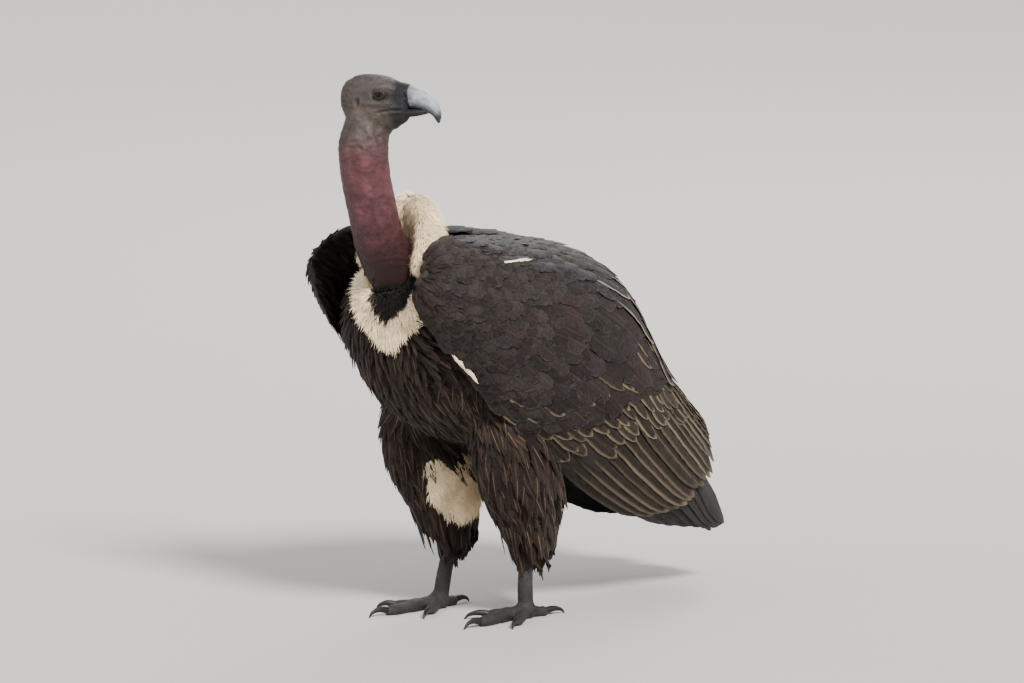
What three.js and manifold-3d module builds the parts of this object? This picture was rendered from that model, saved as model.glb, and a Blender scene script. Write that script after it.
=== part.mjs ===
// White-rumped vulture, life size, standing with closed wings and its head turned to its left.
// Millimetres, +Z up. The bird faces -Y and its left side is +X.

import * as THREE from 'three';
import { LoftGeometry } from 'three/addons/geometries/LoftGeometry.js';
import { mergeVertices } from 'three/addons/utils/BufferGeometryUtils.js';
import Module from 'manifold-3d';

const wasm = await Module();
wasm.setup();

// ---------------------------------------------------------------- driving dimensions

const GAP = 0.3;                       // clearance left between neighbouring solids
const WELD = 1e-3;                     // vertices closer than this are one vertex
const FLATNESS = 0.25;                 // faces flatter together than this are merged
const CLEARANCE = GAP + FLATNESS / 2;  // leaves the gap after faces have been merged
const SHARPEST = 0.25;                 // cosine that limits how far a swollen solid's sharp edges reach
const TURN = Math.PI * 2;
const END_CROWDING = 0.6;              // 0 spaces a sweep's rings evenly, 1 crowds them at its ends
const SIDES = { left: 1, right: -1 };  // sign of X for each side of the bird

const ACROSS = new THREE.Vector3(1, 0, 0);
const UP = new THREE.Vector3(0, 0, 1);

// Trunk: a curved axis from rump to breast, with half-width, height above and depth below it.
const TRUNK_AXIS = [
  [0, 256, 236], [0, 190, 262], [0, 110, 290], [0, 20, 312],
  [0, -60, 342], [0, -115, 372], [0, -150, 393], [0, -166, 402],
];
const TRUNK_STATIONS = [
  [0, 12, 10, 12], [0.04, 24, 32, 28], [0.16, 44, 68, 60], [0.34, 80, 106, 98], [0.53, 102, 117, 118],
  [0.72, 102, 107, 116], [0.86, 90, 78, 88], [0.95, 68, 46, 55], [0.985, 40, 24, 32], [1, 16, 9, 12],
];
const TRUNK_FULLNESS = 2.35;           // 2 is an ellipse, more is squarer
const TRUNK_RINGS = 13;
const TRUNK_SIDES = 22;

// Neck: upright, a little S-shaped, from between the shoulders to the back of the head.
const NECK_AXIS = [
  [0, -92, 368], [0, -125, 408], [0, -153, 448], [0, -168, 494],
  [0, -177, 530], [-1, -179, 565], [-4, -169, 603],
];
const NECK_STATIONS = [
  [0, 40, 40, 40], [0.16, 36, 35, 37], [0.34, 30, 30, 31], [0.55, 28, 28, 28], [0.75, 27.5, 28, 29],
  [0.9, 26, 27, 31], [1, 19, 20, 24],
];
const NECK_SPLIT_Z = 500;              // the neck's lower and upper lengths meet here
const NECK_RINGS = 13;
const NECK_SIDES = 14;

// Head: its own axes are forward, left and up. Rows are forward, half-width, top and bottom.
const HEAD_SCALE = 1.05;
const HEAD_CENTRE = new THREE.Vector3(7, -161.5, 623);
const HEAD_TURN = THREE.MathUtils.degToRad(23);        // forward axis past square to the body, tailward
const HEAD_STATIONS = [
  [-45, 4, 3, -6], [-42, 12, 11, -17], [-34, 19, 18.5, -30], [-20, 23, 23.5, -41], [-4, 24.5, 24, -44],
  [9, 23.5, 22.5, -40], [19, 19, 19.5, -35], [27, 14.5, 17, -30], [34, 11.5, 15.5, -24], [37, 6, 10, -17],
];
const HEAD_RINGS = 12;
const HEAD_SIDES = 16;
const EYE = { forward: 8, out: 15.5, up: 5.5, radius: 8.6, around: 10, rings: 8 };

// Bill: each half follows its own curved line (forward, up), with half-width, above and below.
const BILL_UPPER = {
  line: [[26, 3.4], [38, 2.6], [50, 0.2], [60, -5.5], [67.5, -14], [70.5, -24.5]],
  stations: [[0, 12.5, 13.6, 13], [0.2, 10.4, 12.2, 12.6], [0.42, 9, 11.2, 10.6], [0.63, 7, 9, 8.2],
    [0.84, 4.2, 5.4, 4.6], [1, 0.9, 1.2, 1]],
};
const BILL_LOWER = {
  line: [[14, -15.5], [34, -15.6], [50, -14.2], [62, -11.4]],
  stations: [[0, 11.5, 5, 6], [0.35, 10, 4.8, 6], [0.75, 7.2, 3.6, 4.6], [1, 2.6, 1.4, 1.6]],
};
const BILL_RINGS = 8;
const BILL_SIDES = 10;

// Ruff: a collar round the back and sides of the neck's foot, open over the throat.
const RUFF_AXIS = [
  [48, -144, 420], [44, -128, 438], [35, -110, 454], [19, -97, 466], [0, -91, 471],
  [-19, -97, 466], [-35, -110, 454], [-44, -128, 438], [-48, -144, 420],
];
const RUFF_STATIONS = [[0, 7, 7, 7], [0.1, 16, 12, 12], [0.28, 30, 16, 18], [0.5, 44, 20, 27],
  [0.72, 30, 16, 18], [0.9, 16, 12, 12], [1, 7, 7, 7]];
const RUFF_LEAN = new THREE.Vector3(0, -0.5, 1);       // the collar's height leans forward, onto the neck
const RUFF_RINGS = 13;
const RUFF_SIDES = 10;

// Closed wing: distances s run from the wrist to the wing tip, and c square to that, up.
const WRIST = { y: -165, z: 400 };
const WING_SLOPE = THREE.MathUtils.degToRad(34.5);
// Rows: s, then c of the lower edge, the widest line and the upper edge, then X of the same three.
const WING_STATIONS = [
  [-30, 4, 15, 30, 86, 92, 82], [-22, -8, 14, 50, 84, 104, 74], [0, -20, 14, 76, 88, 115, 62],
  [30, -30, 15, 94, 95, 123, 52], [70, -39, 17, 112, 100, 129, 44], [120, -48, 20, 138, 104, 132, 32],
  [180, -58, 22, 163, 104, 132, 22], [240, -66, 22, 177, 100, 129, 15], [300, -70, 20, 176, 94, 123, 13],
  [345, -68, 16, 152, 87, 117, 28], [390, -63, 11, 122, 79, 109, 46], [440, -55, 8, 106, 70, 99, 54],
  [500, -43, 6, 90, 58, 86, 54], [550, -30, 4, 62, 48, 70, 49], [605, -14, 4, 30, 40, 54, 44],
];
const WING_LOW_SHARE = 0.36;           // share of the section that lies below the widest line
const WING_LOW_SWEEP = THREE.MathUtils.degToRad(62);
// The arm's shell is thickest along its middle. Roundness sets how soon it thins to its edge and ends.
const ARM = {
  from: -30, to: 352, rings: 13, steps: 7, thick: 24, edge: 5, edgeRoundness: 0.7, endRoundness: 5,
};
const V_STEP = 0.01;                   // step across the section used to find the face's slope
const V_REACH = 0.05;                  // reach to each side used to find the section's length there

// Flight feathers: how many, where they start, and the s of each tip along the section (low to high).
const SECONDARIES = {
  count: 7, root: 335, low: 0.08, high: 0.92, halfWidth: 23, thick: 5, depth: 4,
  tips: [[0, 470], [0.25, 503], [0.5, 520], [0.75, 518], [1, 500]],
};
const PRIMARIES = {
  count: 4, root: 345, low: 0.1, high: 0.5, halfWidth: 18, thick: 4, depth: 10,
  tips: [[0, 520], [0.3, 560], [0.65, 592], [1, 603]],
};
const BLADE_RINGS = 4;
const BLADE_TIP = 0.82;                // where along a feather its end starts to round off
const BLADE_END = 0.2;                 // share of its width left at the very end
const BLADE_EDGE = 0.5;                // share of its thickness left along its edges
const BLADE_TILT = 0.18;               // share of its thickness by which it leans over the next feather

// Tail: twelve feathers in a shallow arch.
const TAIL = {
  base: new THREE.Vector3(0, 176, 252), slope: THREE.MathUtils.degToRad(49), length: 250,
  count: 12, baseSpread: 26, tipSpread: 46, halfWidth: 17, thick: 5, arch: 0.006, round: 14,
};

// Legs: each thigh with its hanging feathers, then the tarsus, from the body down to the foot.
const STEP = { left: -16, right: 18 }; // how far forward each foot stands
const STEP_SWING = 0.6;                // share of the step lost at the hip
const THIGH_AXIS = [[66, -32, 262], [68, -28, 214], [62, -6, 160], [56, 18, 122], [53, 30, 90]];
const THIGH_STATIONS = [[0, 26, 32, 44], [0.12, 38, 46, 64], [0.4, 41, 54, 66], [0.7, 34, 46, 52],
  [0.9, 24, 34, 38], [1, 10, 14, 16]];
const THIGH_RINGS = 10;
const THIGH_SIDES = 14;
const TARSUS_AXIS = [[53, 22, 112], [54, 14, 84], [55, 6, 44], [56, 3, 16]];
const TARSUS_STATIONS = [[0, 9, 11, 11], [0.3, 8.5, 9.5, 9.5], [0.75, 8.5, 9, 9], [1, 10, 11, 11]];
const TARSUS_RINGS = 7;
const TARSUS_SIDES = 10;

// The ball of each foot, and the toes that leave it. Toe and claw rows are multiples of the toe's length
// or the claw's, then of the toe's radius.
const FOOT = { x: 56, y: 2, z: 11 };
const PAD = { radius: 12, wide: 1.1, long: 1.25, around: 10, rings: 6 };
const TOES = [
  { name: 'middle', angle: 4, length: 78, claw: 24, radius: 7.6 },
  { name: 'inner', angle: -34, length: 46, claw: 26, radius: 7 },
  { name: 'outer', angle: 36, length: 54, claw: 19, radius: 6.6 },
  { name: 'hind', angle: 172, length: 30, claw: 24, radius: 6.8 },
];
const TOE_LINE = [[0.35, 1.2], [0.75, 0.92], [1, 0.87]];
const TOE_STATIONS = [[0, 1.2, 1.1, 1.1], [0.3, 1, 1, 1], [0.55, 0.86, 0.86, 1], [0.8, 0.9, 0.86, 1],
  [1, 0.55, 0.55, 0.7]];
const TOE_RINGS = 5;
const TOE_SIDES = 7;
const CLAW_INSET = 3;                  // length of claw held inside the toe's end
const CLAW_LINE = [[0.45, 1.2], [0.85, 0.75], [1, 0.17]];
const CLAW_STATIONS = [[0, 3.6, 4, 4.2], [0.5, 3, 3.6, 3.2], [0.85, 1.8, 2, 1.8], [1, 0.6, 0.6, 0.6]];
const CLAW_RINGS = 3;
const CLAW_SIDES = 6;
const SOLE = 1.6;                      // depth pared off under the toes to make flats

const FINISH = {
  skin: { color: 0x4a3636, roughness: 0.7, metalness: 0 },
  bill: { color: 0x8f9aa0, roughness: 0.35, metalness: 0 },
  billDark: { color: 0x2c2b2d, roughness: 0.4, metalness: 0 },
  eye: { color: 0x1d120c, roughness: 0.08, metalness: 0 },
  body: { color: 0x3b2e28, roughness: 0.85, metalness: 0 },
  white: { color: 0xe6dfd0, roughness: 0.9, metalness: 0 },
  coverts: { color: 0x2b2827, roughness: 0.8, metalness: 0 },
  secondaries: { color: 0x5d554e, roughness: 0.75, metalness: 0 },
  black: { color: 0x1c1a1b, roughness: 0.7, metalness: 0 },
  scales: { color: 0x3c3b3d, roughness: 0.65, metalness: 0 },
  claw: { color: 0x141314, roughness: 0.35, metalness: 0 },
};

// ---------------------------------------------------------------- shaping helpers

// Smooth values between the rows of a table whose first column is the position.
function table(rows) {
  const width = rows[0].length - 1;
  const interpolant = new THREE.CubicInterpolant(
    rows.map((row) => row[0]), rows.flatMap((row) => row.slice(1)), width, new Array(width));
  return (at) => [...interpolant.evaluate(THREE.MathUtils.clamp(at, rows[0][0], rows.at(-1)[0]))];
}

function line(points) {
  const places = points.map((point) => new THREE.Vector3(...point));
  return new THREE.CatmullRomCurve3(places, false, 'centripetal');
}

// Places crowded towards both ends of a length, so that rounded ends stay round.
function eased(count) {
  return Array.from({ length: count + 1 }, (_, i) => {
    const even = i / count;
    return THREE.MathUtils.lerp(even, (1 - Math.cos(even * Math.PI)) / 2, END_CROWDING);
  });
}

// One closed ring, with its own height above and depth below the centre. Fullness squares it.
function oval({ centre, across, up, width, above, below, sides, fullness = 2 }) {
  const swell = (value) => Math.sign(value) * Math.abs(value) ** (2 / fullness);
  return Array.from({ length: sides }, (_, i) => {
    const angle = i / sides * TURN;
    const rise = swell(Math.sin(angle)) * (Math.sin(angle) > 0 ? above : below);
    return centre.clone().addScaledVector(across, swell(Math.cos(angle)) * width).addScaledVector(up, rise);
  });
}

// A body along a curve, from a table of half-width, height above and depth below.
function sweep({ path, stations, across, rings, sides, fullness }) {
  const sizes = table(stations);
  const sections = eased(rings).map((u) => {
    const along = path.getTangentAt(u);
    const wide = across.clone().addScaledVector(along, -across.dot(along)).normalize();
    const up = new THREE.Vector3().crossVectors(along, wide);
    const [width, above, below] = sizes(u);
    return oval({ centre: path.getPointAt(u), across: wide, up, width, above, below, sides, fullness });
  });
  return loft(sections);
}

function middle(points) {
  return points.reduce((sum, point) => sum.add(point), new THREE.Vector3()).divideScalar(points.length);
}

// A closed solid through rings of points, whichever way round the rings were drawn.
function loft(sections) {
  const [start, next] = sections.map(middle);
  const facing = new THREE.Vector3();
  sections[0].forEach((point, i, ring) => {
    const [from, to] = [point, ring[(i + 1) % ring.length]].map((corner) => corner.clone().sub(start));
    facing.add(from.cross(to));
  });
  const rings = facing.dot(next.sub(start)) > 0 ? sections : sections.map((ring) => [...ring].reverse());
  return solid(new LoftGeometry(rings, { capStart: true, capEnd: true }));
}

// A three.js geometry as one closed solid, without the collapsed faces at its poles.
function solid(geometry) {
  const shell = new THREE.BufferGeometry();
  shell.setAttribute('position', geometry.getAttribute('position').clone());
  shell.setIndex(geometry.getIndex().clone());
  const merged = mergeVertices(shell, WELD);
  const corners = merged.getIndex().array;
  const faces = [];
  for (let i = 0; i < corners.length; i += 3) {
    const face = [corners[i], corners[i + 1], corners[i + 2]];
    if (new Set(face).size === 3) faces.push(face);
  }
  return new wasm.Manifold(new wasm.Mesh({
    numProp: 3,
    vertProperties: new Float32Array(merged.getAttribute('position').array),
    triVerts: new Uint32Array(faces.flat()),
  }));
}

function union(solids) {
  return solids.reduce((whole, next) => whole.add(next));
}

// A solid made larger all round: each vertex moves until every face at it has moved by the clearance.
function swollen(body) {
  const { vertProperties, triVerts } = body.getMesh();
  const points = Array.from({ length: vertProperties.length / 3 }, (_, i) => (
    new THREE.Vector3().fromArray(vertProperties, i * 3)));
  const facing = points.map(() => []);
  for (let i = 0; i < triVerts.length; i += 3) {
    const face = new THREE.Triangle(...[...triVerts.subarray(i, i + 3)].map((corner) => points[corner]));
    const normal = face.getNormal(new THREE.Vector3());
    triVerts.subarray(i, i + 3).forEach((corner) => facing[corner].push(normal));
  }
  const moved = points.map((point, i) => {
    const out = facing[i].reduce((sum, normal) => sum.add(normal), new THREE.Vector3()).normalize();
    const least = Math.min(...facing[i].map((normal) => normal.dot(out)));
    return point.addScaledVector(out, CLEARANCE / Math.max(least, SHARPEST));
  });
  return new wasm.Manifold(new wasm.Mesh({
    numProp: 3, vertProperties: new Float32Array(moved.flatMap((point) => point.toArray())), triVerts,
  }));
}

// The largest piece of a solid, without slivers that a cut has left loose.
function mainPiece(body) {
  return body.decompose().reduce((best, piece) => (piece.volume() > best.volume() ? piece : best));
}

// The parts of a solid above and below a level.
function above(body, level) {
  return body.trimByPlane([0, 0, 1], level);
}

function below(body, level) {
  return body.trimByPlane([0, 0, -1], -level);
}

// ---------------------------------------------------------------- head and bill

const headForward = new THREE.Vector3(Math.cos(HEAD_TURN), Math.sin(HEAD_TURN), 0);
const headLeft = new THREE.Vector3().crossVectors(UP, headForward);

// A place on the head, from distances forward, left and up of its centre.
function headPoint(forward, left, up) {
  return HEAD_CENTRE.clone()
    .addScaledVector(headForward, forward * HEAD_SCALE)
    .addScaledVector(headLeft, left * HEAD_SCALE)
    .addScaledVector(UP, up * HEAD_SCALE);
}

function head() {
  const sizes = table(HEAD_STATIONS);
  const [first, last] = [HEAD_STATIONS[0][0], HEAD_STATIONS.at(-1)[0]];
  const sections = eased(HEAD_RINGS).map((u) => {
    const forward = THREE.MathUtils.lerp(first, last, u);
    const [width, top, bottom] = sizes(forward);
    const half = (top - bottom) / 2 * HEAD_SCALE;
    return oval({
      centre: headPoint(forward, 0, (top + bottom) / 2), across: headLeft, up: UP,
      width: width * HEAD_SCALE, above: half, below: half, sides: HEAD_SIDES,
    });
  });
  return loft(sections);
}

function billHalf({ line: points, stations }) {
  return sweep({
    path: line(points.map(([forward, up]) => headPoint(forward, 0, up).toArray())),
    stations: stations.map(([u, ...sizes]) => [u, ...sizes.map((size) => size * HEAD_SCALE)]),
    across: headLeft, rings: BILL_RINGS, sides: BILL_SIDES,
  });
}

function eye(side) {
  const ball = new THREE.SphereGeometry(EYE.radius * HEAD_SCALE, EYE.around, EYE.rings);
  const place = headPoint(EYE.forward, SIDES[side] * EYE.out, EYE.up);
  return solid(ball.translate(...place.toArray()));
}

// ---------------------------------------------------------------- neck, ruff and trunk

function neck() {
  return sweep({
    path: line(NECK_AXIS), stations: NECK_STATIONS, across: ACROSS, rings: NECK_RINGS, sides: NECK_SIDES,
  });
}

function ruff() {
  return sweep({
    path: line(RUFF_AXIS), stations: RUFF_STATIONS, across: RUFF_LEAN, rings: RUFF_RINGS, sides: RUFF_SIDES,
  });
}

function trunk() {
  return sweep({
    path: line(TRUNK_AXIS), stations: TRUNK_STATIONS, across: ACROSS,
    rings: TRUNK_RINGS, sides: TRUNK_SIDES, fullness: TRUNK_FULLNESS,
  });
}

// ---------------------------------------------------------------- wings

const wingSection = table(WING_STATIONS);

// A place on the wing's outer face: s along it, v from its lower edge (0) to its upper edge (1).
function wingFace(side, s, v) {
  const [low, mid, high, xLow, xMid, xHigh] = wingSection(s);
  let c;
  let x;
  if (v < WING_LOW_SHARE) {
    const angle = (1 - v / WING_LOW_SHARE) * WING_LOW_SWEEP;
    const inward = (1 - Math.cos(angle)) / (1 - Math.cos(WING_LOW_SWEEP));
    x = THREE.MathUtils.lerp(xMid, xLow, inward);
    c = mid - (mid - low) * Math.sin(angle) / Math.sin(WING_LOW_SWEEP);
  } else {
    const angle = (v - WING_LOW_SHARE) / (1 - WING_LOW_SHARE) * Math.PI / 2;
    x = THREE.MathUtils.lerp(xHigh, xMid, Math.cos(angle));
    c = mid + (high - mid) * Math.sin(angle);
  }
  return new THREE.Vector3(
    SIDES[side] * x,
    WRIST.y + s * Math.cos(WING_SLOPE) + c * Math.sin(WING_SLOPE),
    WRIST.z - s * Math.sin(WING_SLOPE) + c * Math.cos(WING_SLOPE));
}

// The same place, sunk below the outer face.
function wingPoint(side, s, v, depth) {
  const rise = wingFace(side, s, v + V_STEP).sub(wingFace(side, s, v - V_STEP));
  const run = wingFace(side, s + 1, v).sub(wingFace(side, s - 1, v));
  const inward = rise.cross(run).normalize().multiplyScalar(SIDES[side]);
  return wingFace(side, s, v).addScaledVector(inward, depth);
}

// The arm with its coverts and shoulder feathers: a curved shell that wraps the body's side and back.
function arm(side) {
  const { from, to, rings, steps, thick, edge, edgeRoundness, endRoundness } = ARM;
  const sections = eased(rings).map((u) => {
    const s = THREE.MathUtils.lerp(from, to, u);
    const fade = Math.sqrt(Math.max(0, 1 - Math.abs(2 * u - 1) ** endRoundness));
    const outer = [];
    const inner = [];
    for (let i = 0; i <= steps; i++) {
      const v = i / steps;
      outer.push(wingFace(side, s, v));
      const swell = Math.sin(v * Math.PI) ** edgeRoundness * fade;
      inner.push(wingPoint(side, s, v, THREE.MathUtils.lerp(edge, thick, swell)));
    }
    return [...outer, ...inner.reverse()];
  });
  return loft(sections);
}

// One flat, round-ended feather laid on a surface. place(t, across, depth) gives its points.
function blade({ place, halfWidth, thick }) {
  const sections = Array.from({ length: BLADE_RINGS + 1 }, (_, i) => {
    const t = Math.sqrt(i / BLADE_RINGS);
    const end = Math.max(0, (t - BLADE_TIP) / (1 - BLADE_TIP));
    const half = halfWidth * Math.max(BLADE_END, Math.sqrt(1 - end * end));
    const ridge = thick / 2;
    const edge = ridge * BLADE_EDGE;
    return [
      place(t, -half, edge), place(t, 0, ridge), place(t, half, edge),
      place(t, half, -edge), place(t, 0, -ridge), place(t, -half, -edge),
    ];
  });
  return loft(sections);
}

// A row of flight feathers side by side across the wing's section.
function flightFeathers(side, { count, root, low, high, halfWidth, thick, depth, tips }) {
  const tipAt = table(tips);
  return union(Array.from({ length: count }, (_, i) => {
    const share = i / (count - 1);
    const v = THREE.MathUtils.lerp(low, high, share);
    const [tip] = tipAt(share);
    const place = (t, across, rise) => {
      const s = THREE.MathUtils.lerp(root, tip, t);
      const [lower, upper] = [v - V_REACH, Math.min(v + V_REACH, 1)].map((at) => wingFace(side, s, at));
      const span = lower.distanceTo(upper) / (2 * V_REACH);
      const tilt = thick * BLADE_TILT * across / halfWidth;
      return wingPoint(side, s, THREE.MathUtils.clamp(v + across / span, 0, 1), depth - rise + tilt);
    };
    return blade({ place, halfWidth, thick });
  }));
}

// ---------------------------------------------------------------- tail

function tail() {
  const back = new THREE.Vector3(0, Math.cos(TAIL.slope), -Math.sin(TAIL.slope));
  const outward = new THREE.Vector3(0, Math.sin(TAIL.slope), Math.cos(TAIL.slope));
  return union(Array.from({ length: TAIL.count }, (_, i) => {
    const share = i / (TAIL.count - 1) * 2 - 1;
    const length = TAIL.length - TAIL.round * share * share;
    const place = (t, across, rise) => {
      const x = share * THREE.MathUtils.lerp(TAIL.baseSpread, TAIL.tipSpread, t) + across;
      const layer = -Math.abs(share) * TAIL.thick - TAIL.arch * x * x;
      return TAIL.base.clone()
        .addScaledVector(back, t * length)
        .addScaledVector(outward, rise + layer)
        .addScaledVector(ACROSS, x);
    };
    return blade({ place, halfWidth: TAIL.halfWidth, thick: TAIL.thick });
  }));
}

// ---------------------------------------------------------------- legs and feet

function legPart(side, axis, stations, rings, sides) {
  const placed = axis.map(([x, y, z]) => (
    [SIDES[side] * x, y - STEP[side] * (1 - z / axis[0][2] * STEP_SWING), z]));
  return sweep({ path: line(placed), stations, across: ACROSS, rings, sides });
}

function footPoint(side, angle, reach, z) {
  const turn = THREE.MathUtils.degToRad(angle) * SIDES[side];
  return [
    SIDES[side] * FOOT.x + Math.sin(turn) * reach,
    FOOT.y - STEP[side] - Math.cos(turn) * reach,
    z,
  ];
}

function toe(side, { angle, length, radius }) {
  const path = line([
    footPoint(side, angle, 0, FOOT.z),
    ...TOE_LINE.map(([share, height]) => footPoint(side, angle, length * share, radius * height)),
  ]);
  const stations = TOE_STATIONS.map(([u, ...sizes]) => [u, ...sizes.map((size) => size * radius)]);
  return sweep({ path, stations, across: ACROSS, rings: TOE_RINGS, sides: TOE_SIDES });
}

function claw(side, { angle, length, claw: clawLength, radius }) {
  const path = line([
    footPoint(side, angle, length - CLAW_INSET, radius),
    ...CLAW_LINE.map(([share, height]) => (
      footPoint(side, angle, length + clawLength * share, radius * height))),
  ]);
  return sweep({ path, stations: CLAW_STATIONS, across: ACROSS, rings: CLAW_RINGS, sides: CLAW_SIDES });
}

// The four toes and the ball of the foot, pared flat underneath.
function foot(side) {
  const pad = new THREE.SphereGeometry(PAD.radius, PAD.around, PAD.rings).scale(PAD.wide, PAD.long, 1);
  pad.translate(...footPoint(side, 0, 0, FOOT.z));
  return above(union([solid(pad), ...TOES.map((one) => toe(side, one))]), SOLE);
}

// ---------------------------------------------------------------- the parts, cut to fit each other

const group = new THREE.Group();
const made = new Map();

// Cuts a body clear of the named parts that were made before it, and adds it to the bird.
function addPart(name, body, finish, clearOf = []) {
  const cut = clearOf.reduce((rest, other) => rest.subtract(swollen(made.get(other))), body);
  const piece = mainPiece(cut.asOriginal().simplify(FLATNESS));
  made.set(name, piece);
  const { vertProperties, triVerts } = piece.getMesh();
  const geometry = new THREE.BufferGeometry();
  geometry.setAttribute('position', new THREE.BufferAttribute(vertProperties, 3));
  geometry.setIndex([...triVerts]);
  geometry.computeVertexNormals();
  const mesh = new THREE.Mesh(geometry, new THREE.MeshStandardMaterial(finish));
  mesh.name = name;
  group.add(mesh);
}

const sides = Object.keys(SIDES);
const both = (...names) => names.flatMap((name) => sides.map((side) => name.replace('*', side)));

sides.forEach((side) => addPart(`eye_${side}`, eye(side), FINISH.eye));
addPart('bill_upper', billHalf(BILL_UPPER), FINISH.bill);
addPart('bill_lower', billHalf(BILL_LOWER), FINISH.billDark, ['bill_upper']);
addPart('head', head(), FINISH.skin, [...both('eye_*'), 'bill_upper', 'bill_lower']);
addPart('neck_upper', above(neck(), NECK_SPLIT_Z + GAP / 2), FINISH.skin, ['head']);
addPart('neck_lower', below(neck(), NECK_SPLIT_Z - GAP / 2), FINISH.skin);

sides.forEach((side) => {
  const [armName, innerName] = [`wing_${side}_arm`, `wing_${side}_secondaries`];
  addPart(armName, arm(side), FINISH.coverts);
  addPart(innerName, flightFeathers(side, SECONDARIES), FINISH.secondaries, [armName]);
  addPart(`wing_${side}_primaries`, flightFeathers(side, PRIMARIES), FINISH.black, [armName, innerName]);
});
const wings = both('wing_*_arm', 'wing_*_secondaries', 'wing_*_primaries');

addPart('ruff', ruff(), FINISH.white, ['neck_lower', 'neck_upper', ...both('wing_*_arm')]);
addPart('tail', tail(), FINISH.black, wings);
addPart('trunk', trunk(), FINISH.body, ['neck_lower', 'ruff', 'tail', ...wings]);

sides.forEach((side) => {
  const clawNames = TOES.map(({ name }) => `claw_${side}_${name}`);
  TOES.forEach((one, i) => addPart(clawNames[i], above(claw(side, one), SOLE), FINISH.claw));
  const thigh = legPart(side, THIGH_AXIS, THIGH_STATIONS, THIGH_RINGS, THIGH_SIDES);
  addPart(`thigh_${side}`, thigh, FINISH.body, ['trunk', ...wings]);
  const tarsus = legPart(side, TARSUS_AXIS, TARSUS_STATIONS, TARSUS_RINGS, TARSUS_SIDES);
  addPart(`tarsus_${side}`, tarsus, FINISH.scales, [`thigh_${side}`]);
  addPart(`foot_${side}`, foot(side), FINISH.scales, [`tarsus_${side}`, ...clawNames]);
});

// The origin is the middle of the underside of the whole bird's box.
const box = new THREE.Box3().setFromObject(group);
group.children.forEach((mesh) => {
  mesh.position.set(-(box.min.x + box.max.x) / 2, -(box.min.y + box.max.y) / 2, -box.min.z);
});

export default group;
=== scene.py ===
"""White-rumped vulture, life size: skin, feathers, bill, eyes and claws, built round the packed solids."""

import math

import bmesh
import bpy
import numpy as np
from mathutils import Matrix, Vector, noise
from mathutils.bvhtree import BVHTree


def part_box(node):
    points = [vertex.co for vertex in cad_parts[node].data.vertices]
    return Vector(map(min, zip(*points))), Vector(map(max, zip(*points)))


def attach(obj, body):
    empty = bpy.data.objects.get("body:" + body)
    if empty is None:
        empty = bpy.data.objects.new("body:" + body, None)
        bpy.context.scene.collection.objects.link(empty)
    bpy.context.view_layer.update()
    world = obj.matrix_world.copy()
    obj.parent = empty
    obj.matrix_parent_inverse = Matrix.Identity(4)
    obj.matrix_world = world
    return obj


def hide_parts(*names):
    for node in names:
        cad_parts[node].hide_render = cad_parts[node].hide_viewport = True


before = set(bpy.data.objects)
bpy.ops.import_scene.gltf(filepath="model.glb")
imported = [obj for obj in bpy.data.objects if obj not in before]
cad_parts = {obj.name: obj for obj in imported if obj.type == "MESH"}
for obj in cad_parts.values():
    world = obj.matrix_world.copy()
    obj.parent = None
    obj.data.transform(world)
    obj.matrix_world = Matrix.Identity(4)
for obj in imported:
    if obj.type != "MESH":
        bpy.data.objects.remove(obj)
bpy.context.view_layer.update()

bl_info = {
    "name": "Standing vulture",
    "version": (1, 0, 0),
    "blender": (4, 5, 0),
    "location": "View3D > Sidebar > Vulture",
    "description": "Builds the skin, feathers, bill, eyes and claws of a standing white-rumped vulture",
    "category": "Object",
}

MM = 0.001
SIDES = {"left": 1, "right": -1}
UP = np.array([0.0, 0.0, 1.0])
ACROSS = np.array([1.0, 0.0, 0.0])

# Fineness of the remeshed surfaces, and widths and thickness of feathers, in metres
BODY_VOXEL = 0.0042
RUFF_VOXEL = 0.003
HEAD_VOXEL = 0.0016
LEG_VOXEL = 0.00185
TAIL_WIDTH, WISP_WIDTH = 0.0165, 0.00024
VANE_THICKNESS = 0.0006

# ---------- the bird's own measures, in millimetres

HEAD_SCALE = 1.05
HEAD_CENTRE = np.array([7.0, -161.5, 623.0])
HEAD_TURN = math.radians(23)
HEAD_ROWS = [
    [-45, 4, 3, -6], [-42, 12, 11, -17], [-34, 19, 18.5, -30], [-20, 23, 23.5, -41], [-4, 24.5, 24, -44],
    [9, 23.5, 22.5, -40], [19, 19, 19.5, -35], [27, 14.5, 17, -30], [34, 11.5, 15.5, -24], [37, 6, 10, -17],
]
EYE = {"forward": 8.0, "out": 15.5, "up": 5.5, "radius": 8.0}
NECK_LINE = [
    [0, -92, 368], [0, -125, 408], [0, -153, 448], [0, -168, 494], [0, -177, 530], [-1, -179, 565],
    [-4, -169, 603],
]
NECK_ROWS = [
    [0, 40, 40, 40], [0.16, 36, 35, 37], [0.34, 30, 30, 31], [0.55, 28, 28, 28], [0.75, 27.5, 28, 29],
    [0.9, 26, 27, 31], [1, 19, 20, 24],
]
WRIST_Y, WRIST_Z = -165.0, 400.0
WING_SLOPE = math.radians(34.5)
WING_ROWS = [
    [-30, 4, 15, 30, 86, 92, 82], [-22, -8, 14, 50, 84, 104, 74], [0, -20, 14, 76, 88, 115, 62],
    [30, -30, 15, 94, 95, 123, 52], [70, -39, 17, 112, 100, 129, 44], [120, -48, 20, 138, 104, 132, 32],
    [180, -58, 22, 163, 104, 132, 22], [240, -66, 22, 177, 100, 129, 15], [300, -70, 20, 176, 94, 123, 13],
    [345, -68, 16, 152, 87, 117, 28], [390, -63, 11, 122, 79, 109, 46], [440, -55, 8, 106, 70, 99, 54],
    [500, -43, 6, 90, 58, 86, 54], [550, -30, 4, 62, 48, 70, 49], [605, -14, 4, 30, 40, 54, 44],
]
WING_LOW_SHARE = 0.36
WING_LOW_SWEEP = math.radians(62)
STEP = {"left": -16.0, "right": 18.0}

# ---------- floor, lights and camera, in metres

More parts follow.
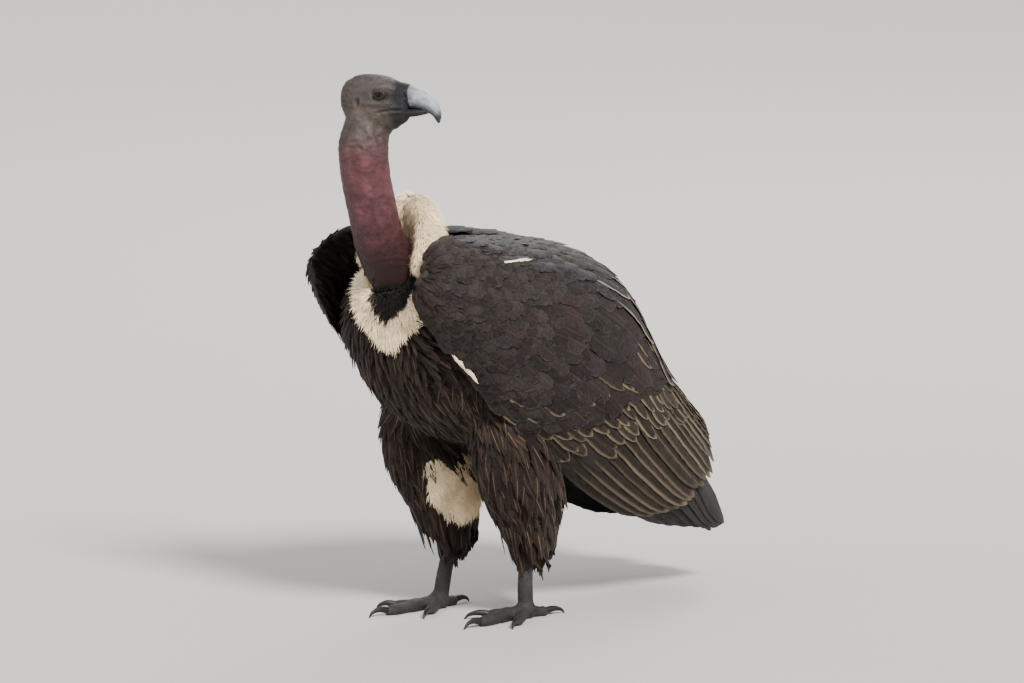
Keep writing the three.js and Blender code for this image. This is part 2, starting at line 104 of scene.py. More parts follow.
FLOOR_REACH = 60
FRAME_MIDDLE = (0, 47, 314)  # in drawn millimetres
FRAME_WIDTH = 1.18
VIEW_TURN, VIEW_RISE = math.radians(48), math.radians(10)
SENSOR, FAR_CLIP = 36, 300
LAMPS = {
    "key": ("SUN", (2.7, -0.75, 3.0), math.radians(14), (1.0, 0.965, 0.92)),
    "fill": ("AREA", (-0.6, -3.4, 1.8), 2.4, (0.94, 0.97, 1.0)),
    "rim": ("AREA", (-1.6, 2.6, 2.4), 1.6, (1.0, 0.98, 0.95)),
}

# ---------- settings


def colour(name, description, default):
    """A colour setting."""
    return bpy.props.FloatVectorProperty(
        name=name, description=description, subtype="COLOR", size=3, min=0.0, max=1.0, default=default)


def distance(name, description, default, most):
    """A length setting, in metres."""
    return bpy.props.FloatProperty(
        name=name, description=description, unit="LENGTH", subtype="DISTANCE", min=0.0, max=most, precision=5,
        default=default)


def strength(name, description, default, most, **kind):
    """A light's strength."""
    return bpy.props.FloatProperty(
        name=name, description=description, min=0.0, max=most, default=default, **kind)


class VultureSkin(bpy.types.PropertyGroup):
    """Bare skin"""
    head: colour("Head", "Sides of the head", (0.049, 0.037, 0.033))
    crown: colour("Crown", "Top of the head", (0.054, 0.046, 0.044))
    lore: colour("Lores", "Skin between the eye and the bill", (0.013, 0.012, 0.0135))
    lid: colour("Lids", "Rims of the eyelids", (0.02, 0.016, 0.016))
    neck: colour("Neck", "Upper neck", (0.08, 0.0265, 0.0325))
    neck_low: colour("Foot of the neck", "Lower neck", (0.016, 0.0034, 0.0044))
    leg: colour("Legs", "Tarsi and toes", (0.028, 0.026, 0.026))
    fold: distance("Fold depth", "How far the folds of the neck stand out", 0.00085, 0.003)
    sink: distance("Coat depth", "How far the skin lies inside the solids, under body feathers", 0.007, 0.015)


class VultureHorn(bpy.types.PropertyGroup):
    """Bill, claws and eyes"""
    silver: colour("Silver", "Pale upper half of the bill", (0.27, 0.285, 0.315))
    dark: colour("Dark horn", "Cere, lower half of the bill and its tip", (0.0085, 0.0085, 0.0105))
    claw: colour("Claws", "Claws", (0.012, 0.011, 0.011))
    iris: colour("Iris", "The eye round its pupil", (0.03, 0.013, 0.006))
    opening: distance("Eye opening", "Half the length of the opening between the lids", 0.0044, 0.0065)


class VulturePlumage(bpy.types.PropertyGroup):
    """Feathers"""
    covert: colour("Coverts", "Small and middle feathers of the wing", (0.0135, 0.0098, 0.0094))
    scapular: colour("Scapulars", "Shoulder feathers", (0.0082, 0.0074, 0.0086))
    secondary: colour("Secondaries", "Hind feathers of the closed wing", (0.0145, 0.0102, 0.0068))
    black: colour("Flight feathers", "Primaries and tail", (0.0075, 0.0066, 0.0066))
    body: colour("Body", "Breast, belly and thighs", (0.0125, 0.008, 0.0063))
    down: colour("White down", "Ruff, chest bands, rump and inner thighs", (0.9, 0.735, 0.5))
    streak: colour("Streaks", "Pale line along the body feathers' shafts", (0.135, 0.084, 0.051))
    buff: colour("Buff edges", "Edges of the hind feathers of the wing", (0.165, 0.128, 0.086))
    grey: colour("Grey edges", "Edges of the coverts", (0.045, 0.037, 0.034))
    pale: colour("Pale edges", "Edges of the long shoulder feathers", (0.3, 0.25, 0.19))
    body_gap: distance("Body feathers", "Least distance between the roots of body feathers", 0.0078, 0.02)
    down_gap: distance("Down spacing", "Least distance between the roots of white tufts", 0.0025, 0.008)
    down_length: distance("Down length", "Length of the white tufts", 0.017, 0.03)


class VultureStage(bpy.types.PropertyGroup):
    """Floor, light and camera"""
    floor: colour("Floor", "Floor", (0.47, 0.465, 0.455))
    sky: strength("Sky", "Strength of the light from all round", 0.85, 5.0)
    key: strength("Key light", "Strength of the main light", 6.4, 20.0)
    fill: strength("Fill light", "Strength of the light on the shaded side", 42.0, 500.0, subtype="POWER")
    rim: strength("Rim light", "Strength of the light from behind", 68.0, 500.0, subtype="POWER")
    lens: bpy.props.FloatProperty(
        name="Lens", description="Focal length", unit="CAMERA", min=50.0, max=3000.0, default=560.0)


def skin_settings():
    """The settings of the bare skin."""
    return bpy.context.scene.vulture_skin


def horn_settings():
    """The settings of bill, claws and eyes."""
    return bpy.context.scene.vulture_horn


def plumage():
    """The settings of the feathers."""
    return bpy.context.scene.vulture_plumage


def tone_of(value):
    """A colour setting as numbers to reckon with."""
    return np.array(value[:], float)


# ---------- small sums


def unit(vectors):
    """Vectors made one long."""
    return vectors / np.maximum(np.linalg.norm(vectors, axis=-1, keepdims=True), 1e-12)


def square_to(vectors, ways):
    """Vectors made one long and square to the ways."""
    return unit(vectors - (vectors * ways).sum(-1, keepdims=True) * ways)


def strayed(flows, ways, amount, draw):
    """Flows turned a little to and fro on the surface."""
    return unit(flows + np.cross(flows, ways) * draw.normal(0, amount, (len(flows), 1)))


def ease(low, high, value):
    """0 below low, 1 above high, and a smooth rise between."""
    share = np.clip((value - low) / (high - low), 0, 1)
    return share * share * (3 - 2 * share)


def hump(value, middle, reach):
    """1 at the middle, fading out over the reach to each side."""
    return np.exp(-(((value - middle) / reach) ** 2))


def blend(first, second, share):
    """Part of the way from the first to the second."""
    return first + (second - first) * share


def table(rows):
    """Smooth values between the rows of a table whose first column is the position."""
    rows = np.asarray(rows, float)
    at_rows, values = rows[:, 0], rows[:, 1:]
    slopes = np.gradient(values, at_rows, axis=0)

    def value(at):
        """The values at any positions."""
        at = np.clip(np.asarray(at, float), at_rows[0], at_rows[-1])
        i = np.clip(np.searchsorted(at_rows, at, side="right") - 1, 0, len(at_rows) - 2)
        gap = (at_rows[i + 1] - at_rows[i])[..., None]
        t = (at - at_rows[i])[..., None] / gap
        return (
            values[i] * (1 + 2 * t) * (1 - t) ** 2 + slopes[i] * gap * t * (1 - t) ** 2
            + values[i + 1] * t * t * (3 - 2 * t) + slopes[i + 1] * gap * t * t * (t - 1)
        )

    return value


def line(points):
    """A smooth line through points, by the share of its length."""
    points = np.asarray(points, float)
    gone = np.concatenate([[0], np.cumsum(np.linalg.norm(np.diff(points, axis=0), axis=1))])
    return table(np.column_stack([gone / gone[-1], points]))


# ---------- places on the bird

HEAD_FORWARD = np.array([math.cos(HEAD_TURN), math.sin(HEAD_TURN), 0.0])
HEAD_LEFT = np.cross(UP, HEAD_FORWARD)
HEAD_AXES = np.array([HEAD_FORWARD, HEAD_LEFT, UP])


def head_point(forward, left, up):
    """A place on the head, in drawn millimetres, from the head's own distances."""
    own = np.stack(np.broadcast_arrays(forward, left, up), axis=-1).astype(float)
    return HEAD_CENTRE + own @ HEAD_AXES * HEAD_SCALE


def box_middle(node):
    """The middle of a solid's box."""
    low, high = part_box(node)
    return np.array((low + high) / 2)


EYES_MIDDLE = (box_middle("eye_left") + box_middle("eye_right")) / 2
ORIGIN = EYES_MIDDLE / MM - head_point(EYE["forward"], 0, EYE["up"])


def place(points):
    """Drawn millimetres to metres in the frame."""
    return (np.asarray(points, float) + ORIGIN) * MM


def drawn(points):
    """Metres in the frame to drawn millimetres."""
    return np.asarray(points, float) / MM - ORIGIN


def head_own(points):
    """The head's own distances forward, left and up of places in the frame."""
    return (drawn(points) - HEAD_CENTRE) @ HEAD_AXES.T / HEAD_SCALE


wing_section = table(WING_ROWS)


def wing_face(side, s, v):
    """The closed wing's outer face: s along it from the wrist, v from its lower edge to its upper one."""
    s, v = np.broadcast_arrays(np.asarray(s, float), np.asarray(v, float))
    low, middle, high, x_low, x_middle, x_high = np.moveaxis(wing_section(s), -1, 0)
    swept = (1 - v / WING_LOW_SHARE) * WING_LOW_SWEEP
    inward = (1 - np.cos(swept)) / (1 - math.cos(WING_LOW_SWEEP))
    raised = (v - WING_LOW_SHARE) / (1 - WING_LOW_SHARE) * math.pi / 2
    under = v < WING_LOW_SHARE
    x = np.where(under, blend(x_middle, x_low, inward), blend(x_high, x_middle, np.cos(raised)))
    c = np.where(
        under,
        middle - (middle - low) * np.sin(swept) / math.sin(WING_LOW_SWEEP),
        middle + (high - middle) * np.sin(raised),
    )
    return np.stack([
        SIDES[side] * x,
        WRIST_Y + s * math.cos(WING_SLOPE) + c * math.sin(WING_SLOPE),
        WRIST_Z - s * math.sin(WING_SLOPE) + c * math.cos(WING_SLOPE),
    ], axis=-1)


def wing_outward(side, s, v):
    """The way the wing's outer face looks."""
    rise = wing_face(side, s, v + 0.01) - wing_face(side, s, v - 0.01)
    run = wing_face(side, s + 1, v) - wing_face(side, s - 1, v)
    return unit(np.cross(run, rise)) * SIDES[side]


def from_neck(at):
    """How far drawn points lie to the left of the neck's middle line and behind it."""
    rows = np.array(NECK_LINE, float)
    return [at[..., i] - np.interp(at[..., 2], rows[:, 2], rows[:, i]) for i in (0, 1)]


def neck_own(points):
    """The angle round the neck from the throat, and the drawn height, of places in the frame."""
    at = drawn(points)
    aside, behind = from_neck(at)
    return np.arctan2(aside, -behind), at[..., 2]


# ---------- markings, shared by skin and feathers

CHEST_BANDS = [
    [(-38, -150, 412), (-18, -168, 390), (6, -174, 364), (24, -172, 350)],
    [(24, -172, 350), (44, -168, 366), (56, -158, 386), (58, -146, 412), (50, -142, 430)],
]
CROP = (14, -164, 404)
NECK_FOOT = (0, -122, 404)


def around_neck(at):
    """How far drawn points lie from the neck's middle line, in millimetres."""
    return np.hypot(*from_neck(at))


def to_segments(points, corners):
    """The least distance of drawn points from a line of straight lengths."""
    corners = np.asarray(corners, float)
    best = np.full(len(points), np.inf)
    for start, end in zip(corners[:-1], corners[1:]):
        along = np.clip((points - start) @ (end - start) / ((end - start) @ (end - start)), 0, 1)
        best = np.minimum(best, np.linalg.norm(points - start - along[:, None] * (end - start), axis=1))
    return best


def chest_white(at):
    """How white the down of the chest is: a V whose arms rise to the ends of the ruff."""
    near = np.min([to_segments(at, band) for band in CHEST_BANDS], axis=0)
    wide = 13.5 + 1.6 * np.sin(at[:, 2] * 0.21 + at[:, 0] * 0.13)
    return (1 - ease(wide - 2, wide + 2, near)) * (at[:, 1] < -118)


def crop_dark(at):
    """How black the small patch over the crop is."""
    inside = 1 - ease(24, 34, np.linalg.norm((at - CROP) * [1, 0.6, 0.7], axis=1))
    return inside * (at[:, 1] < -118)


def thigh_white(at):
    """How white the inner side of the thighs is, with a torn edge."""
    top = 196 + 5 * np.sin(at[:, 1] * 0.11 + 1)
    inner = 40 + 2 * np.sin(at[:, 2] * 0.1)
    return ease(0, 10, inner - np.abs(at[:, 0])) * ease(98, 110, at[:, 2]) * ease(0, 22, top - at[:, 2]) * (
        ease(0, 20, 90 - at[:, 1]) * ease(0, 20, at[:, 1] + 110))


def rump_white(at):
    """How white the lower back and rump are."""
    above = at[:, 2] - np.interp(at[:, 1], [-60, 20, 110, 190, 256], [372, 350, 318, 286, 244])
    return ease(60, 95, at[:, 1]) * ease(0, 15, 236 - at[:, 1]) * ease(0, 20, above) * (np.abs(at[:, 0]) < 52)


# ---------- meshes


def coords(mesh):
    """The places of a mesh's vertices."""
    found = np.empty(len(mesh.vertices) * 3)
    mesh.vertices.foreach_get("co", found)
    return found.reshape(-1, 3)


def facing(mesh):
    """The ways a mesh's vertices look."""
    found = np.empty(len(mesh.vertices) * 3)
    mesh.vertex_normals.foreach_get("vector", found)
    return found.reshape(-1, 3)


def set_coords(mesh, points):
    """Moves a mesh's vertices."""
    mesh.vertices.foreach_set("co", np.asarray(points, np.float32).ravel())
    mesh.update()


def colour_points(mesh, name, colours):
    """Stores a colour at each vertex."""
    full = np.column_stack([colours, np.ones(len(colours))]).astype(np.float32)
    mesh.attributes.new(name, "FLOAT_COLOR", "POINT").data.foreach_set("color", full.ravel())


def number_points(mesh, name, values):
    """Stores a number at each vertex."""
    mesh.attributes.new(name, "FLOAT", "POINT").data.foreach_set("value", np.asarray(values, np.float32))


def wrapped(bm, around, along, shape):
    """Adds a grid wrapped to shape(u, v), with its seam and poles closed. u goes round and v along."""
    made = bmesh.ops.create_grid(bm, x_segments=around, y_segments=along, size=1)["verts"]
    flat = np.array([vertex.co[:2] for vertex in made]) / 2 + 0.5
    for vertex, point in zip(made, shape(flat[:, 0], flat[:, 1])):
        vertex.co = point
    bmesh.ops.remove_doubles(bm, verts=made, dist=1e-6)


def sweep(bm, points, rows, across, around, along, fullness=2.0):
    """Adds a closed body along a line, from a table of half-width, height above and depth below."""
    path, sizes = line(points), table(rows)

    def shape(u, v):
        """The body's surface."""
        v = blend(v, (1 - np.cos(v * math.pi)) / 2, 0.7)
        ahead = unit(path(np.clip(v + 0.005, 0, 1)) - path(np.clip(v - 0.005, 0, 1)))
        wide = unit(across - (ahead @ across)[:, None] * ahead)
        up = np.cross(ahead, wide)
        half, above, below = sizes(v).T
        ends = np.where((v < 1e-6) | (v > 1 - 1e-6), 0, 1)
        cosine, sine = np.cos(u * math.tau), np.sin(u * math.tau)
        out = np.sign(cosine) * np.abs(cosine) ** (2 / fullness) * half * ends
        rise = np.sign(sine) * np.abs(sine) ** (2 / fullness) * np.where(sine > 0, above, below) * ends
        return place(path(v) + wide * out[:, None] + up * rise[:, None])

    wrapped(bm, around, along, shape)


def solid_copy(*nodes):
    """One bmesh of the merged copies of packed solids."""
    bm = bmesh.new()
    for node in nodes:
        bm.from_mesh(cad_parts[node].data)
    bmesh.ops.remove_doubles(bm, verts=bm.verts[:], dist=1e-5)
    return bm


def mesh_of(bm, name, outward=True):
    """The bmesh as a mesh, with its faces outward."""
    if outward:
        bmesh.ops.recalc_face_normals(bm, faces=bm.faces[:])
    mesh = bpy.data.meshes.new(name)
    bm.to_mesh(mesh)
    bm.free()
    return mesh


def object_of(mesh, name):
    """A mesh as an object of the scene."""
    made = bpy.data.objects.new(name, mesh)
    bpy.context.scene.collection.objects.link(made)
    return made


def with_modifiers(mesh, steps):
    """The mesh after modifiers, given as (kind, settings) in order."""
    working = object_of(mesh, "working")
    for kind, settings in steps:
        modifier = working.modifiers.new(kind, kind)
        for key, value in settings.items():
            setattr(modifier, key, value)
    bpy.context.view_layer.update()
    done = bpy.data.meshes.new_from_object(working.evaluated_get(bpy.context.evaluated_depsgraph_get()))
    bpy.data.objects.remove(working)
    return done


def remeshed(bm, voxel, smoothing):
    """One even, closed mesh round everything in the bmesh."""
    return with_modifiers(mesh_of(bm, "rough"), [
        ("REMESH", {"mode": "VOXEL", "voxel_size": voxel, "adaptivity": 0}),
        ("SMOOTH", {"factor": 0.5, "iterations": smoothing}),
    ])


def finish_piece(made, slot, *nodes):
    """Smooths the piece, says what it rides on and hides the solids it stands for."""
    made.data.polygons.foreach_set("use_smooth", [True] * len(made.data.polygons))
    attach(made, "root")
    if nodes:
        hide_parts(*nodes)


# ---------- feathers as joined meshes


def vane(rows, columns, widest, tip, base, sweep_share, camber, ragged, kinds, seed):
    """A feather's outline in a few kinds: a grid, and how far each vertex lies across, ahead and up."""
    bm = bmesh.new()
    bmesh.ops.create_grid(bm, x_segments=columns, y_segments=rows, size=1)
    flat = np.array([vertex.co[:2] for vertex in bm.verts])
    order = np.lexsort((flat[:, 0].round(4), flat[:, 1].round(4)))
    rank = np.empty(len(order), int)
    rank[order] = np.arange(len(order))
    faces = rank[np.array([[vertex.index for vertex in face.verts] for face in bm.faces])]
    bm.free()
    draw = np.random.default_rng(seed)
    t = 1 - (1 - np.linspace(0, 1, rows + 1)) ** 1.15
    u = np.linspace(-1, 1, columns + 1)
    u = np.sign(u) * np.abs(u) ** 0.9
    past = np.clip((t - widest) / (1 - widest), 0, 1)
    outline = base + (1 - base) * np.sin(np.clip(t / widest, 0, 1) * math.pi / 2)
    outline = np.maximum(outline * (1 - past ** tip[0]) ** tip[1], 0.04)
    across = np.repeat((u[None, :] * outline[:, None])[None], kinds, axis=0)
    worn = 1 - ragged * draw.random((kinds, rows + 1, 2)) ** 1.5
    across[:, :, 0] *= worn[..., 0]
    across[:, :, -1] *= worn[..., 1]
    ahead = sweep_share * np.abs(u)[None, :] * outline[:, None]
    ahead = ahead * (1 - t[:, None]) ** 0.6 * np.minimum(1, 3 * t)[:, None]
    ahead = np.repeat(ahead[None], kinds, axis=0)
    ahead += draw.normal(0, 0.012, ahead.shape) * (np.abs(u) > 0.9) * ragged * 4
    rise = -camber * (np.abs(u) ** 2)[None, None, :] * outline[None, :, None]
    rise = rise + draw.normal(0, 0.03, (kinds, rows + 1, columns + 1)) * (np.abs(u) > 0.5)
    return {"faces": faces, "t": t, "u": u, "across": across, "ahead": ahead, "rise": rise}


def strand(rows, kinds, seed, blades, spread, curl):
    """A tuft of fine blades that leave one root, one column each. Spread and curl are in blade widths."""
    parts = []
    draw = np.random.default_rng(seed)
    for blade in range(blades):
        part = vane(rows, 1, 0.35, (1.3, 0.9), 0.5, 0, 0, 0, kinds, seed + blade)
        share = blade / max(blades - 1, 1) * 2 - 1
        t = part["t"][None, :, None]
        lean = (share + draw.normal(0, 0.3, (kinds, 1, 1))) * spread
        part["across"] = part["across"] * 0.5 + lean * t + draw.normal(0, curl, (kinds, 1, 1)) * t * t
        part["ahead"] = part["ahead"] - (0.15 * share * share + draw.uniform(0, 0.3, (kinds, 1, 1))) * t
        part["rise"] = part["rise"] + draw.normal(0, 0.35 * spread, (kinds, 1, 1)) * t * t
        parts.append(part)
    return parts


class Coat:
    """Gathers feathers and joins them in one mesh."""

    def __init__(self):
        self.points, self.faces, self.vanes, self.barbs, self.bakes = [], [], [], [], []
        self.tints, self.streaks, self.edges = [], [], []
        self.count = 0

    def add(self, lie, width, template, tint, streak, edge, root_uv, draw, patch_size=(0.003, 0.003)):
        """Adds feathers. lie holds their centre lines' places, ways ahead and ways out, row by row."""
        if isinstance(template, list):
            for part in template:
                self.add(lie, width, part, tint, streak, edge, root_uv, draw, patch_size)
            return
        centre, ahead_way, out_way, length = lie
        number = len(centre)
        if number == 0:
            return
        kinds = draw.integers(0, len(template["across"]), number)
        side_way = np.cross(ahead_way, out_way)
        width = np.broadcast_to(width, (number,))[:, None, None, None]
        long = np.asarray(length)[:, None, None, None]
        across = template["across"][kinds][..., None]
        points = (
            centre[:, :, None, :]
            + side_way[:, :, None, :] * across * width
            + ahead_way[:, :, None, :] * template["ahead"][kinds][..., None] * long
            + out_way[:, :, None, :] * template["rise"][kinds][..., None] * width
        )
        per = points.shape[1] * points.shape[2]
        self.points.append(points.reshape(-1, 3))
        offsets = self.count + np.arange(number)[:, None, None] * per
        self.faces.append((template["faces"][None] + offsets).reshape(-1, 4))
        self.count += number * per
        t, u = template["t"], template["u"]
        own = np.stack(np.meshgrid((u + 1) / 2, t), axis=-1).reshape(1, per, 2)
        self.vanes.append(np.repeat(own, number, axis=0).reshape(-1, 2))
        barb = np.concatenate([across * width, t[None, :, None, None] * long + across * 0], axis=-1) * 100
        barb = barb.reshape(number, per, 2) + draw.random((number, 1, 2)) * [[[0, 40.0]]]
        self.barbs.append(barb.reshape(-1, 2))
        self.bakes.append((root_uv[:, None, :] + own * patch_size).reshape(-1, 2))
        self.tints.append(np.repeat(np.broadcast_to(tint, (number, 3)), per, axis=0))
        self.streaks.append(np.repeat(np.broadcast_to(streak, (number,)), per))
        self.edges.append(np.repeat(np.broadcast_to(edge, (number,)), per))

    def build(self, name, material):
        """The joined mesh as an object."""
        points, faces = np.concatenate(self.points), np.concatenate(self.faces)
        mesh = bpy.data.meshes.new(name)
        mesh.vertices.add(len(points))
        mesh.vertices.foreach_set("co", points.astype(np.float32).ravel())
        mesh.loops.add(faces.size)
        mesh.loops.foreach_set("vertex_index", faces.astype(np.int32).ravel())
        mesh.polygons.add(len(faces))
        mesh.polygons.foreach_set("loop_start", np.arange(0, faces.size, 4, dtype=np.int32))
        mesh.update(calc_edges=True)
        for layer, values in (("Vane", self.vanes), ("Barb", self.barbs), ("OFBake", self.bakes)):
            corner = np.concatenate(values)[faces.ravel()]
            mesh.uv_layers.new(name=layer).data.foreach_set("uv", corner.astype(np.float32).ravel())
        colour_points(mesh, "Tint", np.concatenate(self.tints))
        number_points(mesh, "Streak", np.concatenate(self.streaks))
        number_points(mesh, "Edge", np.concatenate(self.edges))
        mesh.materials.append(material)
        return object_of(mesh, name)


def tree_of(mesh):
    """A search tree of a mesh's faces."""
    return BVHTree.FromPolygons([v.co for v in mesh.vertices], [p.vertices for p in mesh.polygons])


def smooth_rows(values):
    """Evens a value out along each feather's rows."""
    padded = np.concatenate([values[:, :1], values, values[:, -1:]], axis=1)
    return (padded[:, :-2] + values * 2 + padded[:, 2:]) / 4


def lie_on(tree, roots, flows, lengths, rises, t):
    """Centre lines that leave roots, follow a surface and stand off it by rises (two ends, in metres)."""
    number, rows = len(roots), len(t)
    centre = np.empty((number, rows, 3))
    out = np.empty((number, rows, 3))
    for i in range(number):
        at, way, gone = Vector(roots[i]), Vector(flows[i]), 0.0
        for k in range(rows):
            stepped = (t[k] - gone) * lengths[i]
            gone = t[k]
            near, normal, _, _ = tree.find_nearest(at + way * stepped)
            way = (way - normal * way.dot(normal)).normalized()
            centre[i, k], out[i, k] = near, normal
            at = near
    for _ in range(2):
        out = unit(smooth_rows(out))
    rise = blend(rises[0][:, None], rises[1][:, None], t[None, :] ** 0.8)
    centre = smooth_rows(centre) + out * rise[..., None]
    ahead = unit(np.gradient(centre, axis=1))
    out = square_to(out, ahead)
    return centre, ahead, out, lengths


def hanging(lie, share, ways, lengths, t):
    """Centre lines let go of the surface by a share, so that they hang straight along their ways."""
    centre, _, out, _ = lie
    loose = centre[:, :1] + ways[:, None] * (lengths[:, None] * t[None, :])[..., None]
    loose = loose + out[:, :1] * (lengths[:, None] * 0.05 * t[None, :])[..., None]
    centre = blend(centre, loose, (share[:, None] * ease(0.0, 0.5, t)[None, :])[..., None])
    ahead = unit(np.gradient(centre, axis=1))
    out = square_to(out, ahead)
    return centre, ahead, out, lengths


def scattered(mesh, spacing, tries, draw):
    """Evenly spread places on a mesh, with the ways they look. spacing gives the least distance at each."""
    at = coords(mesh)
    mesh.calc_loop_triangles()
    corners = np.empty(len(mesh.loop_triangles) * 3, np.int32)
    mesh.loop_triangles.foreach_get("vertices", corners)
    corners = corners.reshape(-1, 3)
    edge_one, edge_two = at[corners[:, 1]] - at[corners[:, 0]], at[corners[:, 2]] - at[corners[:, 0]]
    normal = np.cross(edge_one, edge_two)
    area = np.linalg.norm(normal, axis=1)
    chosen = draw.choice(len(corners), tries, p=area / area.sum())
    first, second = draw.random((2, tries, 1))
    over = first + second > 1
    first, second = np.where(over, 1 - first, first), np.where(over, 1 - second, second)
    points = at[corners[chosen, 0]] + edge_one[chosen] * first + edge_two[chosen] * second
    ways = facing(mesh)[corners[chosen]].mean(axis=1)
    gaps = spacing(points, unit(ways))
    cell = gaps[gaps > 0].min() if (gaps > 0).any() else 1.0
    keys = np.floor(points / cell).astype(int)
    kept, grid = [], {}
    for i in range(tries):
        gap = gaps[i]
        if gap <= 0:
            continue
        reach = int(math.ceil(gap / cell))
        x, y, z = keys[i]
        near = [
            j for a in range(x - reach, x + reach + 1) for b in range(y - reach, y + reach + 1)
            for c in range(z - reach, z + reach + 1) for j in grid.get((a, b, c), ())
        ]
        if near and (np.linalg.norm(points[near] - points[i], axis=1) < gap).any():
            continue
        kept.append(i)
        grid.setdefault((x, y, z), []).append(i)
    return points[kept], unit(ways[kept])


# ---------- materials


class Finish:
    """Builds the nodes of one material."""

    def __init__(self, name, **constants):
        self.material = bpy.data.materials.new(name)
        self.material.use_nodes = True
        self.tree = self.material.node_tree
        self.shader = self.tree.nodes["Principled BSDF"]
        for socket, value in constants.items():
            self.shader.inputs[socket.replace("_", " ")].default_value = value

    def put(self, socket, value):
        """Links a socket, or sets its value."""
        if isinstance(value, bpy.types.NodeSocket):
            self.tree.links.new(value, socket)
        else:
            socket.default_value = value

    def node(self, kind, inputs=None, **settings):
        """Adds a node."""
        made = self.tree.nodes.new(kind)
        for key, value in settings.items():
            setattr(made, key, value)
        for key, value in (inputs or {}).items():
            self.put(made.inputs[key], value)
        return made

    def sum(self, operation, *values):
        """One step of arithmetic."""
        return self.node("ShaderNodeMath", dict(enumerate(values)), operation=operation).outputs[0]

    def times(self, first, second):
        """A product."""
        return self.sum("MULTIPLY", first, second)

    def less(self, first, second):
        """A difference."""
        return self.sum("SUBTRACT", first, second)

    def uv(self, name):
        """A map's two numbers."""
        places = self.node("ShaderNodeUVMap", uv_map=name).outputs[0]
        return self.node("ShaderNodeSeparateXYZ", {0: places}).outputs[:2]

    def edges(self, vector, scale):
        """How far it is to the nearest edge of a pattern of cells."""
        return self.node(
            "ShaderNodeTexVoronoi", {"Vector": vector, "Scale": scale}, feature="DISTANCE_TO_EDGE").outputs[0]

    def rise(self, value, low, high, start=0.0, end=1.0):
        """A smooth rise from start to end as the value goes from low to high."""
        made = self.node("ShaderNodeMapRange", {0: value, 1: low, 2: high, 3: start, 4: end})
        made.interpolation_type = "SMOOTHSTEP"
        return made.outputs[0]

    def mixed(self, share, first, second, way="MIX"):
        """A mix of two colours."""
        made = self.node("ShaderNodeMix", data_type="RGBA", blend_type=way)
        colours = [socket for socket in made.inputs if socket.type == "RGBA"]
        self.put(made.inputs[0], share)
        self.put(colours[0], first)
        self.put(colours[1], second)
        return [socket for socket in made.outputs if socket.type == "RGBA"][0]

    def grain(self, vector, scale, detail=3.0, roughness=0.55, distortion=0.0):
        """Noise, from 0 to 1."""
        return self.node("ShaderNodeTexNoise", {
            "Vector": vector, "Scale": scale, "Detail": detail, "Roughness": roughness,
            "Distortion": distortion}).outputs[0]

    def attribute(self, name, output="Color"):
        """A value stored in the mesh."""
        return self.node("ShaderNodeAttribute", attribute_name=name).outputs[output]

    def grey(self, value):
        """A number as a grey colour."""
        return self.node("ShaderNodeCombineXYZ", {0: value, 1: value, 2: value}).outputs[0]

    def object_places(self, stretch=(1.0, 1.0, 1.0)):
        """Object coordinates, in metres, stretched."""
        own = self.node("ShaderNodeTexCoord").outputs["Object"]
        return self.node("ShaderNodeMapping", {"Vector": own, "Scale": stretch}).outputs[0]

    def bump(self, height, strength, distance, below=None):
        """A bump over another one, if given."""
        inputs = {"Height": height, "Strength": strength, "Distance": distance}
        if below is not None:
            inputs["Normal"] = below
        return self.node("ShaderNodeBump", inputs).outputs[0]

    def done(self, colour, roughness=None, normal=None):
        """Links the shader and gives the material."""
        self.put(self.shader.inputs["Base Color"], colour)
        if roughness is not None:
            self.put(self.shader.inputs["Roughness"], roughness)
        if normal is not None:
            self.put(self.shader.inputs["Normal"], normal)
        return self.material


